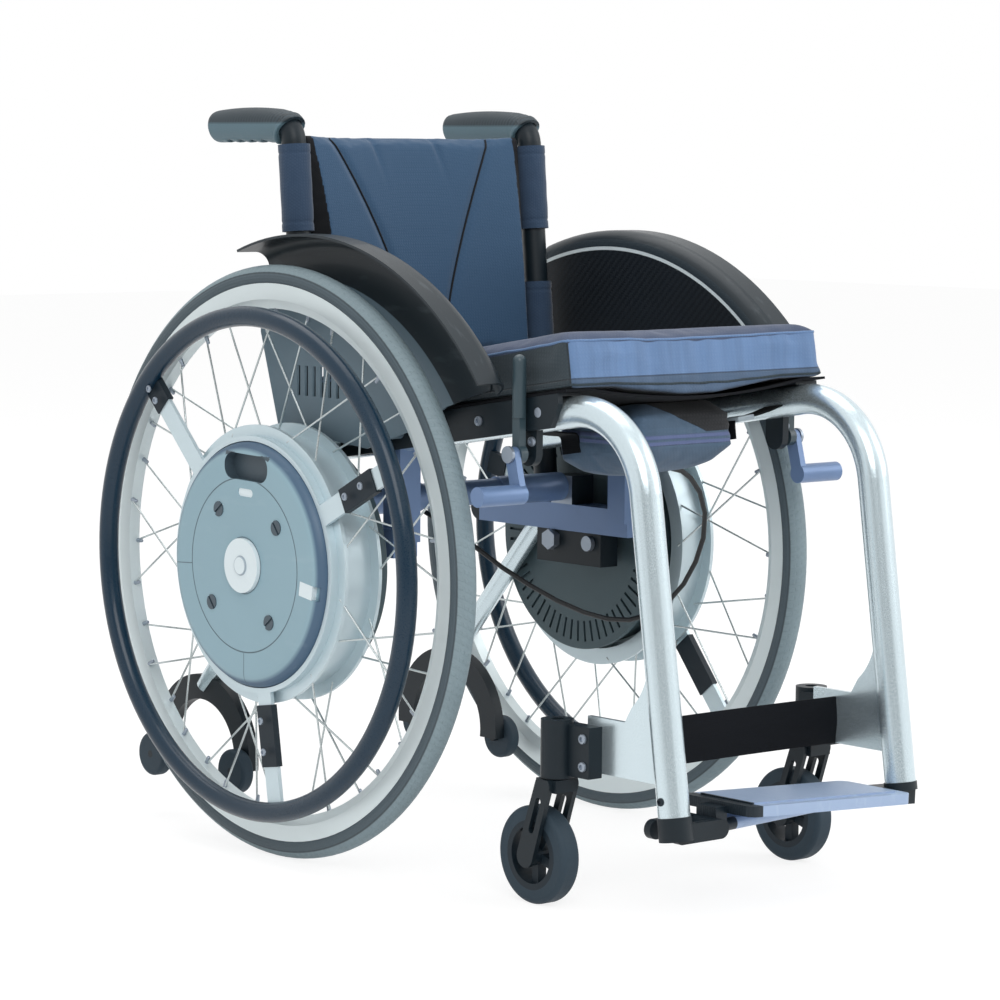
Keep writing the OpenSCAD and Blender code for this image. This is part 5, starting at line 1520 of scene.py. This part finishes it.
class CHAIR_OT_pouch_straps(bpy.types.Operator):
    """Makes the webbing straps that hang the pouch from the seat tubes, and the front straps' buckles"""

    bl_idname = "chair.pouch_straps"
    bl_label = "Pouch Straps"

    # Width of the webbing, where each strap starts along the seat, and its line as x and height
    strap_w = 0.025
    starts = (0.014, 0.092)
    line = ((0.1338, -0.0040), (0.1180, -0.0082), (0.1000, -0.0118), (0.0820, -0.0142), (0.0705, -0.0152),
            (0.0678, -0.0166), (0.0667, -0.0195), (0.0664, -0.0340))
    # The front buckle's place on its strap, the frame's sizes and edge, and its bar
    buckle_share = 0.66
    buckle_size = (0.022, 0.034, 0.005)
    buckle_edge = 0.0035
    bar_r = 0.0018
    bar_len = 0.029

    def execute(self, context):
        made = [self.strap(sign, start) for sign in SIDES.values() for start in self.starts]
        total = len(made) * self.run()
        straps = joined("pouch_straps", made)
        dress(straps, "black_webbing", "frame")
        places = [self.buckle_place(sign) for sign in SIDES.values()]
        dress(copies("strap_buckles", self.buckle(), places), "buckle_grey", "frame")
        return {"FINISHED"}

    def run(self):
        """Length of one strap."""
        return sum(math.dist(a, b) for a, b in zip(self.line, self.line[1:]))

    def spot(self, share):
        """The x and height at a share of a strap's length."""
        left = share * self.run()
        for a, b in zip(self.line, self.line[1:]):
            step = math.dist(a, b)
            if left <= step:
                return a[0] + (b[0] - a[0]) * left / step, a[1] + (b[1] - a[1]) * left / step
            left -= step
        return self.line[-1]

    def strap(self, sign, start):
        """One strap, from a seat tube to the pouch's side."""
        bpy.ops.object.select_all(action="DESELECT")
        bpy.ops.mesh.primitive_grid_add(x_subdivisions=40, y_subdivisions=6, size=1.0)
        strap = active_piece("strap")
        for vertex in strap.data.vertices:
            x, height = self.spot(min(1.0, vertex.co.x + 0.5))
            vertex.co = seat_point(sign * x, start + self.strap_w * (vertex.co.y + 0.5), height)
        apply_modifier(strap, "SOLIDIFY", thickness=sizes().strap_t * 0.7, offset=0.0)
        smooth(strap, 0.8)
        return strap

    def buckle(self):
        """A ladder buckle round the origin: a frame with a middle bar."""
        bpy.ops.object.select_all(action="DESELECT")
        bpy.ops.mesh.primitive_cube_add(size=1.0, scale=self.buckle_size)
        buckle = active_piece("buckle frame")
        bake_place(buckle)
        select_faces(buckle, lambda centre, normal: abs(normal.z) > 0.9)
        bpy.ops.mesh.inset(thickness=self.buckle_edge, use_individual=True)
        bpy.ops.mesh.bridge_edge_loops()
        bpy.ops.object.mode_set(mode="OBJECT")
        bpy.ops.object.select_all(action="DESELECT")
        bpy.ops.mesh.primitive_cylinder_add(vertices=12, radius=self.bar_r, depth=self.bar_len,
                                            rotation=(math.pi / 2, 0.0, 0.0))
        bar = active_piece("buckle bar")
        bake_place(bar)
        whole = joined("buckle master", [buckle, bar])
        apply_modifier(whole, "BEVEL", width=0.0008, segments=2, limit_method="ANGLE")
        smooth(whole)
        return whole

    def buckle_place(self, sign):
        """Where a buckle lies on its side's front strap."""
        middle = self.starts[0] + self.strap_w / 2
        spots = [self.spot(self.buckle_share + step) for step in (0.0, 0.1)]
        here, there = (seat_point(sign * x, middle, height) for x, height in spots)
        run = (there - here).normalized()
        turn = Matrix((run, SEAT_BACK, run.cross(SEAT_BACK))).transposed()
        return Matrix.Translation(here) @ turn.to_4x4()


class CHAIR_OT_calf_strap(bpy.types.Operator):
    """Makes the calf strap: thick webbing with folded edges between the caster plates"""

    bl_idname = "chair.calf_strap"
    bl_label = "Calf Strap"

    # How far the strap bows in its middle and rolls at its edges, and its gap to the plates' faces
    bow = 0.0035
    roll = 0.0009
    gap = 0.0012

    def execute(self, context):
        bpy.ops.object.select_all(action="DESELECT")
        bpy.ops.mesh.primitive_grid_add(x_subdivisions=60, y_subdivisions=12, size=1.0)
        strap = active_piece("calf_strap_webbing")
        for vertex in strap.data.vertices:
            x = 2 * STRAP_HALF_W * vertex.co.x
            up = vertex.co.y
            give = self.bow * (1.0 - (2 * vertex.co.x) ** 2)
            roll = self.roll * math.cos(math.pi * up * 2)
            vertex.co = Vector((x, STRAP_Y - self.gap + give - roll, STRAP_Z + STRAP_H * up))
        apply_modifier(strap, "SOLIDIFY", thickness=sizes().strap_t, offset=-1.0)
        apply_modifier(strap, "BEVEL", width=0.0006, segments=2, limit_method="ANGLE")
        smooth(strap, 0.8)
        dress(strap, "black_webbing", "frame", ("calf_strap",))
        return {"FINISHED"}


class CHAIR_OT_frame_screws(bpy.types.Operator):
    """Adds the socket screws of the rails, caster clamps, tubes and brackets"""

    bl_idname = "chair.frame_screws"
    bl_label = "Frame Screws"

    def execute(self, context):
        places = []
        sunk = []
        caps = []
        for sign in SIDES.values():
            out = (sign, 0.0, 0.0)
            sunk.append(facing(seat_point(sign * RAIL_FACE_X, RAIL_FRONT_SCREW, RAIL_SCREW_H), out))
            for along in RAIL_SCREWS:
                places.append(facing(seat_point(sign * RAIL_FACE_X, along, RAIL_SCREW_H), out))
            places.append(facing((sign * BRACKET_FACE_X, *BRACKET_SCREW), out))
            for z in CLAMP_SCREW_HEIGHTS:
                places.append(facing((sign * CLAMP_FACE_X, CLAMP_SCREW_Y, z), out))
            tube_side = leg_point(sign * TUBE_X, TUBE_SCREW_Z) + Vector((sign * TUBE_R, 0.0, 0.0))
            caps.append(facing(tube_side, out))
        screws = copies("frame_screws", socket_screw(sizes().screw_r, sizes().screw_h), places)
        dress(screws, "screw_steel", "frame")
        flush = copies("rail_front_screws", socket_screw(sizes().screw_r, sizes().sunk_h), sunk)
        dress(flush, "screw_steel", "frame")
        stops = copies("tube_end_screws", socket_screw(sizes().screw_r * 0.8, sizes().screw_h * 0.7), caps)
        dress(stops, "black_plastic", "frame")
        return {"FINISHED"}


class CHAIR_OT_wheel_hardware(bpy.types.Operator):
    """Adds the spoke nipples on each rim and the screws on each push rim arm"""

    bl_idname = "chair.wheel_hardware"
    bl_label = "Wheel Hardware"

    # The least turn between two spokes at the rim, and the arm screws' places on a sleeve and height
    spoke_turn = 0.02
    screw_shares = (0.25, 0.75)
    arm_screw_h = 0.0016
    arm_half_t = 0.005

    def execute(self, context):
        for side, sign in SIDES.items():
            self.add_nipples(side)
            self.add_arm_screws(side, sign)
        return {"FINISHED"}

    def spoke_ends(self, side):
        """Where the spokes reach the rim, as the middle of each group of outer points."""
        ends = []
        for vertex in frame["nodes"]["spokes_" + side].data.vertices:
            out = Vector((0.0, vertex.co.y - AXLE_Y, vertex.co.z - AXLE_Z))
            if out.length > RIM_IN_R - 0.004:
                ends.append((math.atan2(out.z, out.y), vertex.co.x))
        ends.sort()
        groups = [[ends[0]]]
        for end in ends[1:]:
            if end[0] - groups[-1][-1][0] > self.spoke_turn:
                groups.append([])
            groups[-1].append(end)
        return [(sum(a for a, _ in g) / len(g), sum(x for _, x in g) / len(g)) for g in groups]

    def add_nipples(self, side):
        """A short tapered nipple on the rim end of each spoke."""
        radius = sizes().nipple_r
        bpy.ops.object.select_all(action="DESELECT")
        run = sizes().nipple_len
        bpy.ops.mesh.primitive_cone_add(vertices=10, radius1=radius, radius2=radius * 0.72, depth=run,
                                        location=(0.0, 0.0, run / 2))
        nipple = active_piece("nipple master")
        bake_place(nipple)
        select_faces(nipple, lambda centre, normal: normal.z > 0.9)
        bpy.ops.mesh.bevel(offset=radius * 0.25, segments=1)
        bpy.ops.object.mode_set(mode="OBJECT")
        smooth(nipple)
        places = []
        for angle, x in self.spoke_ends(side):
            out = Vector((0.0, math.cos(angle), math.sin(angle)))
            foot = Vector((x, AXLE_Y, AXLE_Z)) + out * (RIM_IN_R + 0.001)
            places.append(facing(foot, -out))
        dress(copies("spoke_nipples_" + side, nipple, places), "screw_steel", "wheel_" + side)

    def add_arm_screws(self, side, sign):
        """Two screws on the black sleeve of each arm."""
        places = []
        for arm, (start, end) in zip(ARM_ANGLES[side], ARM_SLEEVE_SHARES):
            angle = math.radians(arm)
            out = Vector((0.0, -math.cos(angle), math.sin(angle)))
            for share in self.screw_shares:
                along = start + (end - start) * share
                radius = ARM_START_R + along * (PUSH_MID_R - ARM_START_R)
                place = Vector((sign * (ARM_X + self.arm_half_t), AXLE_Y, AXLE_Z)) + out * radius
                places.append(facing(place, (sign, 0.0, 0.0)))
        screws = copies("arm_screws_" + side, socket_screw(sizes().screw_r * 0.8, self.arm_screw_h), places)
        dress(screws, "screw_steel", "push_ring_" + side)


class CHAIR_PT_panel(bpy.types.Panel):
    """Lists the pieces that can be made"""

    bl_idname = "CHAIR_PT_panel"
    bl_label = "Wheelchair"
    bl_space_type = "VIEW_3D"
    bl_region_type = "UI"
    bl_category = "Wheelchair"

    def draw(self, context):
        for operator in STEPS:
            self.layout.operator(operator.bl_idname)
        for group in (context.scene.chair_colours, context.scene.chair_sizes, context.scene.chair_counts):
            box = self.layout.box()
            for name in group.__annotations__:
                box.prop(group, name)


STEPS = (
    CHAIR_OT_stage, CHAIR_OT_control_cable, CHAIR_OT_finishes, CHAIR_OT_seat_cushion, CHAIR_OT_backrest,
    CHAIR_OT_post_sleeves, CHAIR_OT_push_grips, CHAIR_OT_seat_sling, CHAIR_OT_seat_pouch,
    CHAIR_OT_pouch_straps, CHAIR_OT_calf_strap, CHAIR_OT_frame_screws, CHAIR_OT_wheel_hardware)

CLASSES = (ChairColours, ChairSizes, ChairCounts) + STEPS + (CHAIR_PT_panel,)


def register():
    """Registers the classes and the settings that they use."""
    for entry in CLASSES:
        bpy.utils.register_class(entry)
    bpy.types.Scene.chair_colours = PointerProperty(type=ChairColours)
    bpy.types.Scene.chair_sizes = PointerProperty(type=ChairSizes)
    bpy.types.Scene.chair_counts = PointerProperty(type=ChairCounts)


def unregister():
    """Takes the classes and settings away again."""
    del bpy.types.Scene.chair_counts
    del bpy.types.Scene.chair_sizes
    del bpy.types.Scene.chair_colours
    for entry in reversed(CLASSES):
        bpy.utils.unregister_class(entry)


def main():
    """Makes the stage and every piece in order."""
    register()
    make_finishes()
    bpy.ops.chair.stage()
    bpy.ops.chair.control_cable()
    bpy.ops.chair.finishes()
    bpy.ops.chair.seat_cushion()
    bpy.ops.chair.backrest()
    bpy.ops.chair.post_sleeves()
    bpy.ops.chair.push_grips()
    bpy.ops.chair.seat_sling()
    bpy.ops.chair.seat_pouch()
    bpy.ops.chair.pouch_straps()
    bpy.ops.chair.calf_strap()
    bpy.ops.chair.frame_screws()
    bpy.ops.chair.wheel_hardware()


if __name__ == "__main__":
    main()
